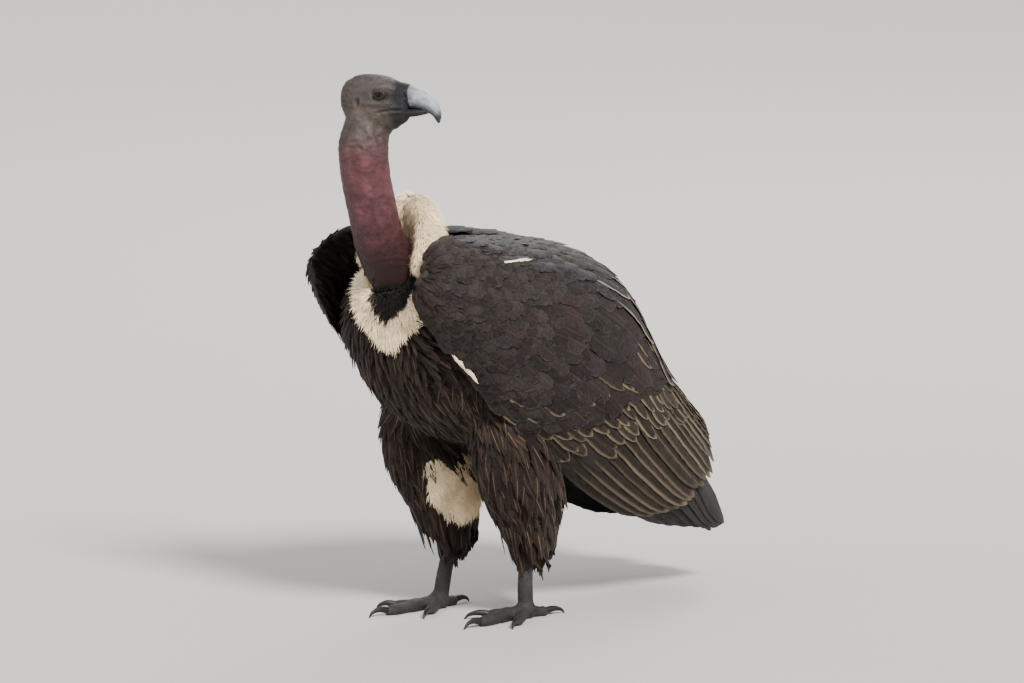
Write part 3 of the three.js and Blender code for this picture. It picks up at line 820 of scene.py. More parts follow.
def feather_finish(
        name, streak, edge, barb=(0.62, 1.4), barb_depth=0.35, silver=0.0, rough=0.7, shine=0.13,
        rim=(0.74, 0.94)):
    """Vanes with a shaft line, an edge and slanted barbs, in each feather's own tint, with patches of painted
    sheen where silver is given.
    """
    finish = Finish(name, Roughness=rough, Specular_IOR_Level=shine, Sheen_Weight=0.03, Sheen_Roughness=0.5)
    vane_across, along = finish.uv("Vane")
    barb_across, barb_along = finish.uv("Barb")
    aside = finish.times(finish.sum("ABSOLUTE", finish.less(vane_across, 0.5)), 2)
    off_shaft = finish.sum("ABSOLUTE", barb_across)
    slant = finish.less(barb_along, finish.times(off_shaft, 0.9))
    run = finish.sum("ADD", barb_along, off_shaft)
    fine = finish.node("ShaderNodeCombineXYZ", {0: finish.times(slant, 9.0), 1: run}).outputs[0]
    barbs = finish.grain(fine, 1.0, 3.0, 0.7)
    patches = finish.grain(finish.object_places(), 34.0, 4.0, 0.6)
    coarse = finish.node("ShaderNodeCombineXYZ", {0: finish.times(slant, 1.6), 1: run}).outputs[0]
    mottle = finish.grain(coarse, 1.3, 4.0, 0.65)
    shade = finish.times(finish.rise(barbs, 0.25, 0.75, *barb), finish.rise(patches, 0.3, 0.7, 0.8, 1.2))
    shade = finish.times(shade, finish.rise(mottle, 0.3, 0.72, 0.82, 1.3))
    shade = finish.times(shade, finish.rise(along, 0.0, 0.8, 0.72, 1.08))
    colour = finish.mixed(1.0, finish.attribute("Tint"), finish.grey(shade), "MULTIPLY")
    # Painted sheen: pale grey patches on the outer parts of the vanes, as strong as silver says.
    if silver:
        painted_sheen = finish.times(finish.rise(mottle, 0.4, 0.7), silver)
        painted_sheen = finish.times(finish.rise(aside, 0.1, 0.8), painted_sheen)
        colour = finish.mixed(painted_sheen, colour, (0.15, 0.145, 0.15, 1))
    outer = finish.sum("ADD", aside, finish.times(finish.less(barbs, 0.5), 0.22))
    edge_share = finish.sum("MAXIMUM", finish.rise(outer, *rim), finish.rise(along, 0.93, 1.0))
    edge_share = finish.times(edge_share, finish.attribute("Edge", "Fac"))
    edge_share = finish.times(edge_share, finish.rise(along, 0.1, 0.5))
    colour = finish.mixed(edge_share, colour, (*edge, 1))
    streak_share = finish.times(finish.attribute("Streak", "Fac"), finish.rise(along, 0.25, 0.6))
    streak_share = finish.times(finish.less(1.0, finish.rise(aside, 0.03, 0.13)), streak_share)
    colour = finish.mixed(streak_share, colour, (*streak, 1))
    shaft = finish.less(1.0, finish.rise(off_shaft, 0.03, 0.09))
    normal = finish.bump(finish.sum("ADD", barbs, finish.times(shaft, 0.8)), barb_depth, 0.0012)
    return finish.done(colour, normal=normal)


def skin_finish(name):
    """Bare skin: painted zones, blotches, pores and fine creases, with painted shade along the creases."""
    finish = Finish(name, Specular_IOR_Level=0.3, Subsurface_Weight=0.06, Subsurface_Scale=0.002)
    finish.shader.inputs["Subsurface Radius"].default_value = (1.0, 0.35, 0.2)
    blotch = finish.grain(finish.object_places(), 60.0, 5.0, 0.6)
    fine = finish.grain(finish.object_places((1, 1, 1.6)), 420.0, 4.0, 0.6)
    crease = finish.rise(finish.edges(finish.object_places((1, 1, 1.7)), 640.0), 0.0, 0.3)
    # Painted shade: the colour darkens along the fine creases.
    shade = finish.times(finish.rise(blotch, 0.3, 0.72, 0.72, 1.28), finish.rise(crease, 0.0, 1.0, 0.88, 1.0))
    speck = finish.grain(finish.object_places((1, 1, 0.45)), 900.0, 2.0, 0.6)
    shade = finish.times(shade, finish.rise(speck, 0.35, 0.7, 0.86, 1.16))
    colour = finish.mixed(1.0, finish.attribute("Tint"), finish.grey(shade), "MULTIPLY")
    scaly = finish.attribute("Scale", "Fac")
    scale_line = finish.rise(finish.edges(finish.object_places(), 430.0), 0.0, 0.16)
    between = finish.times(scaly, finish.less(1.0, scale_line))
    colour = finish.mixed(between, colour, (0.012, 0.011, 0.011, 1))
    normal = finish.bump(finish.times(crease, finish.rise(blotch, 0.35, 0.65, 0.3, 1.0)), 0.22, 0.0006)
    normal = finish.bump(fine, 0.35, 0.0006, normal)
    normal = finish.bump(finish.times(scaly, scale_line), 0.6, 0.0006, normal)
    return finish.done(colour, finish.rise(fine, 0.3, 0.7, 0.5, 0.72), normal)


def horn_finish(name, rough, growth):
    """Horn in painted zones, with fine growth lines."""
    finish = Finish(name, Specular_IOR_Level=0.26, Coat_Weight=0.04, Coat_Roughness=0.3)
    lines = finish.grain(finish.object_places(), growth, 5.0, 0.6, 0.6)
    fine = finish.grain(finish.object_places((3, 3, 0.6)), 300.0, 3.0, 0.6)
    shade = finish.times(finish.rise(lines, 0.3, 0.7, 0.78, 1.15), finish.rise(fine, 0.3, 0.7, 0.9, 1.08))
    colour = finish.mixed(1.0, finish.attribute("Tint"), finish.grey(shade), "MULTIPLY")
    normal = finish.bump(fine, 0.25, 0.0004)
    pale = finish.node("ShaderNodeSeparateXYZ", {0: finish.attribute("Tint")}).outputs[0]
    grain = finish.rise(lines, 0.3, 0.7, rough - 0.06, rough + 0.12)
    return finish.done(colour, finish.sum("ADD", grain, finish.rise(pale, 0.02, 0.12, 0.16, 0.0)), normal)


def eye_finish(name):
    """A wet dark brown eye."""
    finish = Finish(name, Roughness=0.08, Specular_IOR_Level=0.16)
    ring = finish.attribute("Ring", "Fac")
    flecks = finish.grain(finish.object_places(), 900.0, 3.0, 0.6)
    bright = tone_of(horn_settings().iris)
    iris = finish.mixed(finish.rise(flecks, 0.3, 0.7), (*(bright * 0.4), 1), (*bright, 1))
    colour = finish.mixed(finish.rise(ring, 0.22, 0.27), (0.002, 0.002, 0.002, 1), iris)
    colour = finish.mixed(finish.rise(ring, 0.46, 0.6), colour, (0.006, 0.004, 0.004, 1))
    return finish.done(colour)


# ---------- skin

LEG_NODES = ["tarsus_left", "tarsus_right", "foot_left", "foot_right"]
BODY_NODES = ["trunk", "ruff", "thigh_left", "thigh_right", "wing_left_arm", "wing_right_arm"]
HEAD_NODES = ["head", "neck_upper", "neck_lower"]
EYE_LEAN = 0.16
EYE_SURROUND = 0.0115
LID_SQUASH = 1.42


def eye_axis(side):
    """The way an eye looks, in the head's own axes."""
    return unit(np.array([EYE_LEAN, SIDES[side], 0.05]))


def eye_middle(side):
    """An eye's middle, in the head's own distances."""
    return np.array([EYE["forward"], SIDES[side] * EYE["out"], EYE["up"]])


def from_eye_line(own, side):
    """How far places lie from an eye's axis, in the head's own distances."""
    return np.linalg.norm(np.cross(own - eye_middle(side), eye_axis(side)), axis=1)


def noise_at(points, scale, octaves=3):
    """Smooth noise at places, about -1 to 1."""
    return np.array([noise.fractal(Vector(point), 0.7, 2.0, octaves) for point in points * scale])


def head_shape(bm):
    """The bare head, without its folds."""
    sizes = table(HEAD_ROWS)
    first, last = HEAD_ROWS[0][0], HEAD_ROWS[-1][0]

    def shape(u, v):
        """The head's surface."""
        v = blend(v, (1 - np.cos(v * math.pi)) / 2, 0.7)
        forward = blend(first, last, v)
        half, top, bottom = sizes(forward).T
        ends = np.where((v < 1e-6) | (v > 1 - 1e-6), 0, 1)
        rise = (top + bottom) / 2 + np.sin(u * math.tau) * (top - bottom) / 2 * ends
        return place(head_point(forward, np.cos(u * math.tau) * half * ends, rise))

    wrapped(bm, 64, 60, shape)


def head_folds(at):
    """How far the brow, sockets, mouth, ears, creases and neck folds push the skin out, in millimetres."""
    forward, left, up = head_own(at).T
    aside = np.abs(left)
    height = drawn(at)[:, 2]
    on_head = ease(560, 582, height)
    creases = noise_at(np.column_stack([forward * 0.5, aside * 0.6, up * 1.1]), 0.16, 4)
    fine = noise_at(np.column_stack([forward * 0.8, aside * 0.6, up * 1.6]), 0.42, 3)
    push = 2.7 * hump(forward, 11, 10) * hump(up - 0.12 * (forward - 8), 13.2, 2.9) * ease(8, 14, aside)
    push -= 2.0 * hump(forward, 21, 5.5) * hump(up, 2.5, 6) * ease(8, 13, aside)
    push += 1.2 * hump(forward, 2, 12) * hump(up, -4.5, 3.4) * ease(12, 17, aside)
    push -= 0.9 * hump(forward, 4, 14) * hump(up, -8.5, 1.8) * ease(12, 17, aside)
    mouth = -11.0 - 0.02 * (27 - forward) - 0.009 * np.maximum(24 - forward, 0) ** 2
    reach = ease(3, 9, forward) * ease(11, 13.5, aside)
    push -= 2.0 * hump(up, mouth, 0.95) * reach
    push += 1.0 * hump(up, mouth - 2.9, 1.8) * reach
    push += 0.8 * hump(up, mouth + 2.6, 1.6) * reach
    corner = np.hypot(forward - 4.5, up + 15.5)
    push += ease(12, 16, aside) * 0.5 * hump(corner, 4.2, 1.3)
    ear = np.hypot(forward + 17, (up + 4) / 1.35)
    push += ease(15, 18, aside) * (1.0 * hump(ear, 4.6, 1.3) - 2.8 * hump(ear, 0, 2.7))
    push += on_head * (0.5 * creases + 0.26 * fine) * ease(-6, 4, 26 - forward)
    bands = np.abs(np.sin((forward * 0.9 + 4 * creases) * 0.42))
    push += 0.4 * (bands - 0.6) * ease(17, 21, up) * ease(0, 8, 24 - forward)
    nape = hump(forward, -36, 14) * ease(-40, -10, up)
    push += nape * 0.7 * (np.abs(np.sin((up + 3 * creases) * 0.55)) - 0.6)
    throat = hump(forward, 2, 20) * (1 - ease(-34, -20, up))
    push += throat * (0.9 * np.sin(left * 0.62 + 2.4 * creases) + 0.4 * creases)
    push = push * on_head
    angle, height = neck_own(at)
    on_neck = (1 - ease(572, 592, height)) * ease(418, 440, height)
    wave = noise_at(np.column_stack([angle * 9, height * 0.5, 0 * angle]), 0.11, 4)
    small = noise_at(np.column_stack([np.cos(angle) * 14, np.sin(angle) * 14, height * 1.3]), 0.34, 3)
    twist = height / 9.5 + 0.5 * angle + 1.9 * wave
    rings = np.abs(np.sin(twist * math.pi / 2)) ** 0.7 - 0.7
    wander = noise_at(np.column_stack([angle * 4, height * 0.12, 0 * angle + 5]), 0.2, 3)
    strings = 0.35 * np.sin(angle * 9 + 3.2 * wander) * (1 - 0.5 * ease(500, 560, height))
    deep = skin_settings().fold / MM
    push += on_neck * deep * (0.9 * rings + 0.35 * wave + strings + 0.28 * small)
    return push


def fold_head(mesh):
    """Pushes out the folds, then seats the lids on the eyes."""
    at, way = coords(mesh), facing(mesh)
    on_head = ease(560, 582, drawn(at)[:, 2])
    at = at + way * head_folds(at)[:, None] * MM
    own = head_own(at)
    radius = EYE["radius"]
    opening = horn_settings().opening / MM
    for side in SIDES:
        axis, middle = eye_axis(side), eye_middle(side)
        from_eye = own - middle
        high = from_eye @ axis
        flat = from_eye - high[:, None] * axis
        lower = np.where(flat[:, 2] > 0, 1.06, 1.0) * LID_SQUASH
        spread = np.linalg.norm(flat * np.column_stack([np.ones(len(at)), np.ones(len(at)), lower]), axis=1)
        near = (spread < 15) & (high > 0)
        edge = np.abs(spread - opening) < 0.5
        flat = np.where((near & edge)[:, None], flat * (opening / np.maximum(spread, 1e-6))[:, None], flat)
        true = np.linalg.norm(flat, axis=1)
        ball = np.sqrt(np.maximum(radius ** 2 - np.minimum(true, radius * 0.98) ** 2, 0))
        fold = 0.45 * hump(spread, opening + 1.3, 0.7) - 0.5 * hump(spread, opening + 2.9, 0.6)
        lid = ball + 1.1 + fold - 0.4 * ease(opening + 1, opening + 3, spread)
        lid = blend(lid, high, ease(opening + 2.6, 12.5, spread))
        lid = np.where(spread < opening - 0.15, 1.0, lid)
        own = np.where(near[:, None], middle + flat + axis * lid[:, None], own)
    moved = place(HEAD_CENTRE + own @ HEAD_AXES * HEAD_SCALE)
    set_coords(mesh, np.where(on_head[:, None] > 0.5, moved, at))


def eased_join(mesh):
    """Rounds off the hollow where the head meets the neck."""
    bm = bmesh.new()
    bm.from_mesh(mesh)
    middle = place([0, 0, 584])[2]
    for reach, rounds in ((0.026, 14), (0.018, 26), (0.011, 30)):
        near = [vertex for vertex in bm.verts if abs(vertex.co.z - middle) < reach]
        for _ in range(rounds):
            bmesh.ops.smooth_vert(bm, verts=near, factor=0.5, use_axis_x=True, use_axis_y=True, use_axis_z=True)
    bm.to_mesh(mesh)
    bm.free()


def finer_at_eyes(mesh):
    """Splits the faces round the eyes."""
    bm = bmesh.new()
    bm.from_mesh(mesh)
    middles = [Vector(place(head_point(*(eye_middle(side) + eye_axis(side) * 6)))) for side in SIDES]
    near = []
    for edge in bm.edges:
        at = (edge.verts[0].co + edge.verts[1].co) / 2
        if min((at - middle).length for middle in middles) < EYE_SURROUND:
            near.append(edge)
    bmesh.ops.subdivide_edges(bm, edges=near, cuts=2, use_grid_fill=True)
    bm.to_mesh(mesh)
    bm.free()


def bare_head_and_neck():
    """The fine mesh of the bare head and neck."""
    bm = bmesh.new()
    head_shape(bm)
    sweep(bm, NECK_LINE, NECK_ROWS, ACROSS, 64, 60)
    mesh = remeshed(bm, HEAD_VOXEL, 10)
    eased_join(mesh)
    finer_at_eyes(mesh)
    fold_head(mesh)
    return mesh


def feathered_body():
    """The body under its feathers: the solids' own shape, sunk by the depth of the coat."""
    mesh = remeshed(solid_copy(*BODY_NODES), BODY_VOXEL, 6)
    at = drawn(coords(mesh))
    depth = np.full(len(at), skin_settings().sink / MM)
    depth = np.where(np.abs(at[:, 0]) > 84, 3.0, depth)
    depth = np.where(at[:, 2] < 130, 4.0, depth)
    set_coords(mesh, coords(mesh) - facing(mesh) * depth[:, None] * MM)
    return mesh


TARSUS_LINE = [[53, 22, 122], [54, 14, 84], [55, 6, 44], [56, 3, 12]]
TARSUS_ROWS = [[0, 11, 13, 13], [0.25, 9.2, 10.4, 10.4], [0.55, 8, 9, 8.6], [0.8, 8.6, 9.4, 9], [1, 9, 9, 9]]
FOOT = {"x": 56.0, "y": 2.0, "z": 11.0}
TOES = {
    "middle": (4, 78, 24, 7.6), "inner": (-34, 46, 26, 7.0), "outer": (36, 54, 19, 6.6),
    "hind": (172, 30, 24, 6.8),
}
TOE_LINE = [[0.35, 1.2], [0.75, 0.92], [1, 0.87]]
TOE_ROWS = [
    [0, 1.2, 1.1, 1.0], [0.22, 1.0, 1.02, 1.0], [0.36, 0.86, 0.92, 0.9], [0.5, 0.98, 1.02, 1.0],
    [0.62, 0.84, 0.88, 0.9], [0.76, 0.96, 0.96, 1.0], [0.9, 0.82, 0.84, 0.9], [1, 0.5, 0.55, 0.6],
]
CLAW_LINE = [[0.45, 1.25], [0.85, 0.8], [1, 0.17]]
CLAW_ROWS = [
    [0, 3.6, 4.2, 4.2], [0.3, 3.3, 4, 3.6], [0.6, 2.4, 2.9, 2.4], [0.88, 1.2, 1.5, 1.2], [1, 0.4, 0.5, 0.4]]
PAD_ROWS = [[0, 3, 3, 3], [0.25, 11, 9, 10], [0.5, 13, 11, 11], [0.75, 11, 9, 10], [1, 3, 3, 3]]
PAD_REACH = 13
SCUTE_PITCH, TOE_SCUTE_PITCH, SCUTE_HEIGHT = 4.6, 3.6, 0.42
SOLE = 1.6


def foot_point(side, angle, reach, z):
    """A place near a foot, from the ball of the foot outward."""
    turn = math.radians(angle) * SIDES[side]
    return [
        SIDES[side] * FOOT["x"] + math.sin(turn) * reach,
        FOOT["y"] - STEP[side] - math.cos(turn) * reach,
        z,
    ]


def toe_points(side, name):
    """A toe's middle line."""
    angle, length, _, radius = TOES[name]
    return [foot_point(side, angle, 0, FOOT["z"])] + [
        foot_point(side, angle, length * share, radius * high) for share, high in TOE_LINE]


def leg_points(side):
    """The tarsus's middle line."""
    return [[SIDES[side] * x, y - STEP[side] * (1 - z / 112 * 0.6), z] for x, y, z in TARSUS_LINE]


def bare_legs():
    """Fine meshes of both scaly legs and feet, flat underneath."""
    bm = bmesh.new()
    for side in SIDES:
        sweep(bm, leg_points(side), TARSUS_ROWS, ACROSS, 40, 40)
        for name, (_, _, _, radius) in TOES.items():
            rows = [[u, *(size * radius for size in sizes)] for u, *sizes in TOE_ROWS]
            sweep(bm, toe_points(side, name), rows, ACROSS, 32, 40)
        pad = [foot_point(side, 0, reach, FOOT["z"]) for reach in (PAD_REACH, -PAD_REACH)]
        sweep(bm, pad, PAD_ROWS, ACROSS, 32, 16)
    mesh = remeshed(bm, LEG_VOXEL, 6)
    at = drawn(coords(mesh))
    way = facing(mesh)
    push = np.zeros(len(at))
    for side in SIDES:
        toes = [(toe_points(side, name), TOE_SCUTE_PITCH) for name in TOES]
        for points, pitch in [(leg_points(side), SCUTE_PITCH)] + toes:
            path = line(points)
            samples = path(np.linspace(0, 1, 60))
            length = np.linalg.norm(np.diff(samples, axis=0), axis=1).sum()
            apart = np.linalg.norm(at[:, None, :] - samples[None], axis=2)
            nearest = apart.argmin(axis=1)
            within = apart.min(axis=1) < 13
            gone = nearest / 59 * length
            ahead = unit(np.gradient(samples, axis=0))[nearest]
            gone = gone + ((at - samples[nearest]) * ahead).sum(axis=1)
            front = way[:, 2] if pitch == TOE_SCUTE_PITCH else -way[:, 1]
            plate = (gone / pitch) % 1
            swell = ease(0, 0.3, plate) - ease(0.8, 1.0, plate) - 0.4
            push = np.where(within, SCUTE_HEIGHT * ease(0.15, 0.75, front) * swell, push)
    at = at + way * push[:, None]
    at[:, 2] = np.maximum(at[:, 2], SOLE)
    set_coords(mesh, place(at))
    return mesh


def joined(main, *others):
    """The union of closed meshes."""
    for other in others:
        cutter = object_of(other, "cutter")
        union = {"operation": "UNION", "solver": "MANIFOLD", "object": cutter}
        main = with_modifiers(main, [("BOOLEAN", union)])
        bpy.data.objects.remove(cutter)
    return main


def paint_skin(mesh):
    """The skin's colour zones, with painted shade in its creases and hollows and painted light on its ridges,
    and where it is scaly.
    """
    skin, feathers = skin_settings(), plumage()
    at = drawn(coords(mesh))
    own = head_own(coords(mesh))
    forward, left, up = own.T
    blotch = noise_at(coords(mesh), 45, 3)[:, None]
    tone = np.repeat(tone_of(feathers.body)[None] * 0.8, len(at), axis=0)
    white = np.maximum.reduce([chest_white(at), thigh_white(at), rump_white(at)])
    ruff_zone = ease(418, 430, at[:, 2]) * ease(-146, -136, at[:, 1])
    ruff_zone = ruff_zone * (1 - ease(-72, -64, at[:, 1])) * (np.abs(at[:, 0]) < 60)
    tone = blend(tone, tone_of(feathers.down) * 0.85, np.maximum(white, ruff_zone)[:, None])
    bare = ease(402, 410, at[:, 2]) * (around_neck(at) < np.interp(at[:, 2], [400, 440, 460], [46, 41, 38]))
    neck = blend(tone_of(skin.neck_low), tone_of(skin.neck), ease(415, 520, at[:, 2])[:, None])
    tone = blend(tone, neck * (1 + 0.22 * blotch), bare[:, None])
    head = blend(tone_of(skin.head), tone_of(skin.crown), ease(4, 20, up)[:, None]) * (1 + 0.3 * blotch)
    cheek = hump(forward, -6, 13) * hump(up, -12, 8)
    mask = np.maximum(hump(forward, 14, 9) * hump(up, 3, 8), 0.8 * hump(forward, 22, 9) * hump(up, 9, 6))
    head = head * (1 + 0.4 * cheek - 0.55 * mask)[:, None]
    head = head * blend(np.ones(3), np.array([1.08, 1.0, 0.9]), cheek[:, None])
    tone = blend(tone, head, ease(548, 594, at[:, 2] - 5 * blotch[:, 0])[:, None])
    head_zone = ease(574, 584, at[:, 2])
    lores = head_zone * np.maximum(ease(15, 24, forward), 0.7 * hump(up, 9, 4) * ease(10, 18, forward))
    tone = blend(tone, tone_of(skin.lore), lores[:, None])
    for side in SIDES:
        spread = from_eye_line(own, side)
        lid = head_zone * (1 - ease(5.2, 8.6, spread)) * (left * SIDES[side] > 6)
        tone = blend(tone, tone_of(skin.lid), lid[:, None])
    # Painted shade and light: the bare head and neck darker in their creases, sockets and hollows and lighter
    # on their ridges, by how far the folds push the skin in or out.
    bare_part = np.maximum(bare, head_zone)
    folds = head_folds(coords(mesh)) * bare_part
    tone = tone * (1 + 0.3 * np.clip(folds, -1.6, 1.1))[:, None]
    legs = 1 - ease(108, 116, at[:, 2])
    tone = blend(tone, tone_of(skin.leg) * (1 + 0.3 * blotch), legs[:, None])
    colour_points(mesh, "Tint", tone)
    number_points(mesh, "Scale", legs)


def build_skin():
    """One skin for all the flesh."""
    mesh = joined(feathered_body(), bare_head_and_neck(), bare_legs())
    mesh.name = "skin"
    mesh.materials.clear()
    mesh.materials.append(skin_finish("bare_skin"))
    paint_skin(mesh)
    finish_piece(object_of(mesh, "skin"), "bare_skin", *HEAD_NODES, *BODY_NODES, *LEG_NODES)


# ---------- bill, eyes and claws

BILL_UPPER_LINE = [[24, 3.6], [38, 2.6], [50, 0.2], [60, -5.5], [67.5, -14], [70.5, -24.5]]
BILL_UPPER_ROWS = [
    [0, 12.6, 13.4, 13], [0.12, 11.6, 12.8, 13], [0.24, 10.2, 11.9, 12.2], [0.42, 9, 11.2, 10.6],
    [0.63, 7, 9, 8.2], [0.84, 4, 5.4, 4.6], [0.95, 2, 2.8, 2.4], [1, 0.7, 0.9, 0.8],
]
BILL_LOWER_LINE = [[12, -15.2], [34, -14.4], [50, -12.6], [61, -11.0]]
BILL_LOWER_ROWS = [
    [0, 11.8, 5, 6], [0.35, 9.8, 4.6, 6], [0.75, 6.9, 3.4, 4.6], [0.94, 4, 2, 2.6], [1, 1.6, 1, 1]]


def bill_half(line_points, rows, fullness):
    """One half of the bill, closed, along its own line."""
    bm = bmesh.new()
    points = [list(head_point(forward, 0, up)) for forward, up in line_points]
    scaled = [[u, *(size * HEAD_SCALE for size in sizes)] for u, *sizes in rows]
    sweep(bm, points, scaled, HEAD_LEFT, 72, 90, fullness)
    return mesh_of(bm, "bill")


def build_bill():
    """Both halves of the bill, with cere and nostrils."""
    horn = horn_finish("bill_horn", 0.36, 120.0)
    mesh = bill_half(BILL_UPPER_LINE, BILL_UPPER_ROWS, 2.15)
    at, way = coords(mesh), facing(mesh)
    forward, left, up = head_own(at).T
    push = 0.55 * (1 - ease(37.5, 39, forward + 0.12 * (up - 4)))
    slit = np.hypot((forward - 34.5 + (up - 5) * 0.25) / 1.1, (up - 5) / 3.6)
    push -= 2.4 * (1 - ease(0.55, 1.1, slit)) * (np.abs(left) > 5)
    push += 0.35 * hump(slit, 1.35, 0.3) * (np.abs(left) > 5)
    edge = hump(up, -9.0 - 0.011 * (forward - 34) ** 2 * 0.6, 1.4) * ease(34, 42, forward)
    push += 0.5 * (edge * (1 - ease(58, 64, forward)))
    set_coords(mesh, at + way * push[:, None] * MM)
    silver, dark = tone_of(horn_settings().silver), tone_of(horn_settings().dark)
    cere = 1 - ease(37.4, 38.6, forward + 0.12 * (up - 4))
    drop = up + 0.012 * np.maximum(forward - 40, 0) ** 2
    lines = noise_at(np.column_stack([forward * 0.35, left * 1.6, drop * 1.5]), 0.3, 3)
    low = 1 - ease(-9.0, 5.0, drop + 2.2 * lines)
    tip = ease(52, 60, forward) * (1 - ease(-17, -7, up + 2 * lines))
    ridge = ease(6, 10, drop) * (1 - ease(1.5, 4, np.abs(left)))
    near_cere = 1 - ease(38, 47, forward + 3 * lines)
    tone = silver * (1 + 0.16 * lines[:, None] + 0.12 * ridge[:, None])
    tone = blend(tone, dark * 1.7, np.maximum.reduce([low * 0.9, tip * 0.93, near_cere * 0.6])[:, None])
    tone = blend(tone, dark * (1 + 0.2 * lines[:, None]), cere[:, None])
    colour_points(mesh, "Tint", tone)
    mesh.materials.append(horn)
    finish_piece(object_of(mesh, "bill_upper_horn"), "bill_pale", "bill_upper")
    lower = bill_half(BILL_LOWER_LINE, BILL_LOWER_ROWS, 2.0)
    forward, left, up = head_own(coords(lower)).T
    dark = tone_of(horn_settings().dark)
    colour_points(lower, "Tint", blend(dark * 1.1, dark * 2.4, ease(34, 60, forward)[:, None]))
    lower.materials.append(horn)
    finish_piece(object_of(lower, "bill_lower_horn"), "bill_dark", "bill_lower")


def build_eyes():
    """Both eyeballs, with iris and pupil."""
    glassy = eye_finish("eye_wet")
    for side in SIDES:
        bm = bmesh.new()
        bmesh.ops.create_uvsphere(bm, u_segments=48, v_segments=32, radius=EYE["radius"] * HEAD_SCALE * MM)
        axis = eye_axis(side) @ HEAD_AXES
        turn = Vector((0, 0, 1)).rotation_difference(Vector(axis)).to_matrix().to_4x4()
        bmesh.ops.transform(bm, matrix=turn, verts=bm.verts[:])
        middle = place(head_point(*eye_middle(side)))
        bmesh.ops.translate(bm, verts=bm.verts[:], vec=Vector(middle))
        mesh = mesh_of(bm, f"eyeball_{side}")
        outward = unit(coords(mesh) - middle)
        turned = np.arccos(np.clip(outward @ axis, -1, 1))
        number_points(mesh, "Ring", turned)
        cornea = 0.5 * (1 - ease(0.0, 0.6, turned))
        set_coords(mesh, coords(mesh) + outward * cornea[:, None] * MM)
        mesh.materials.append(glassy)
        finish_piece(object_of(mesh, f"eyeball_{side}"), "eye", f"eye_{side}")


def build_claws():
    """All eight claws."""
    horn = horn_finish("claw_horn", 0.34, 200.0)
    for side in SIDES:
        bm = bmesh.new()
        for name, (angle, length, claw, radius) in TOES.items():
            points = [foot_point(side, angle, length - 5, radius)] + [
                foot_point(side, angle, length + claw * share, radius * high) for share, high in CLAW_LINE]
            sweep(bm, points, CLAW_ROWS, ACROSS, 20, 22)
        mesh = mesh_of(bm, f"claws_{side}")
        at = coords(mesh)
        at[:, 2] = np.maximum(at[:, 2], place([0, 0, SOLE])[2])
        set_coords(mesh, at)
        colour_points(mesh, "Tint", np.repeat([tone_of(horn_settings().claw)], len(at), axis=0))
        mesh.materials.append(horn)
        finish_piece(object_of(mesh, f"claws_{side}"), "claw", *(f"claw_{side}_{name}" for name in TOES))


# ---------- coat


def patch(area, share_u, share_v):
    """A root's place on the unwrap of the skin: each area of the bird has its own part of it."""
    u_low, u_high, v_low, v_high = {
        "body": (0.02, 0.56, 0.02, 0.48), "neck": (0.6, 0.98, 0.02, 0.24), "head": (0.6, 0.98, 0.26, 0.48),
        "wing_left": (0.02, 0.5, 0.52, 0.73), "wing_right": (0.02, 0.5, 0.76, 0.97),
        "thigh_left": (0.54, 0.74, 0.52, 0.97), "thigh_right": (0.78, 0.98, 0.52, 0.97),
    }[area]
    return np.stack([
        blend(u_low, u_high, np.clip(share_u, 0, 1)), blend(v_low, v_high, np.clip(share_v, 0, 1))], axis=-1)


def wing_patch(side, s, v):
    """The unwrap's places for roots on a wing."""
    return patch(f"wing_{side}", (s + 40) / 400, v)


def varied(setting, low, high, number, draw):
    """A colour for each of a number of feathers, each by its own share darker or paler."""
    return tone_of(setting) * draw.uniform(low, high, (number, 1))


def finish_coat(coat, name, finish, slot, *nodes, thick=False):
    """Joins a coat's feathers in one piece. Long vanes are given their real thickness."""
    made = coat.build(name, coat_finish(finish))
    if thick:
        solid = made.modifiers.new("Thickness", "SOLIDIFY")
        solid.thickness = VANE_THICKNESS
        solid.offset = 0
    finish_piece(made, slot, *nodes)


def body_patch(at):
    """The unwrap's places for roots on the trunk, thighs, ruff and neck."""
    round_body = np.arctan2(at[:, 0], at[:, 2] - np.interp(at[:, 1], [-166, 256], [390, 240])) / math.tau + 0.5
    found = patch("body", round_body, (at[:, 1] + 190) / 450)
    for side in SIDES:
        on_thigh = (at[:, 2] < 215) & (at[:, 0] * SIDES[side] > 0) & (at[:, 1] < 60)
        round_thigh = np.arctan2(at[:, 0] - 60 * SIDES[side], -10 - at[:, 1]) / math.tau + 0.5
        found = np.where(on_thigh[:, None], patch(f"thigh_{side}", round_thigh, (at[:, 2] - 70) / 150), found)
    on_neck = at[:, 2] > 410
    angle, height = neck_own(place(at))
    return np.where(on_neck[:, None], patch("neck", angle / math.tau + 0.5, (height - 400) / 200), found)


CONTOUR = dict(
    rows=8, columns=4, widest=0.46, tip=(1.35, 0.85), base=0.35,
    sweep_share=0.1, camber=0.3, ragged=0.5, kinds=12)
COVERT = dict(
    rows=9, columns=6, widest=0.62, tip=(2.4, 0.55), base=0.4,
    sweep_share=0.1, camber=0.22, ragged=0.26, kinds=12)
GREAT = dict(
    rows=16, columns=6, widest=0.7, tip=(2.2, 0.6), base=0.5,
    sweep_share=0.05, camber=0.2, ragged=0.08, kinds=8)
FLIGHT = dict(
    rows=34, columns=10, widest=0.8, tip=(2.2, 0.6), base=0.6,
    sweep_share=0.03, camber=0.14, ragged=0.04, kinds=6)
GREAT_PATCH, LONG_PATCH = (0.006, 0.012), (0.009, 0.03)
GREAT_ROWS = (-34.0, -6.0, 24.0, 56.0)
LONG_TILT = 0.2
TAIL_FEATHERS = 12


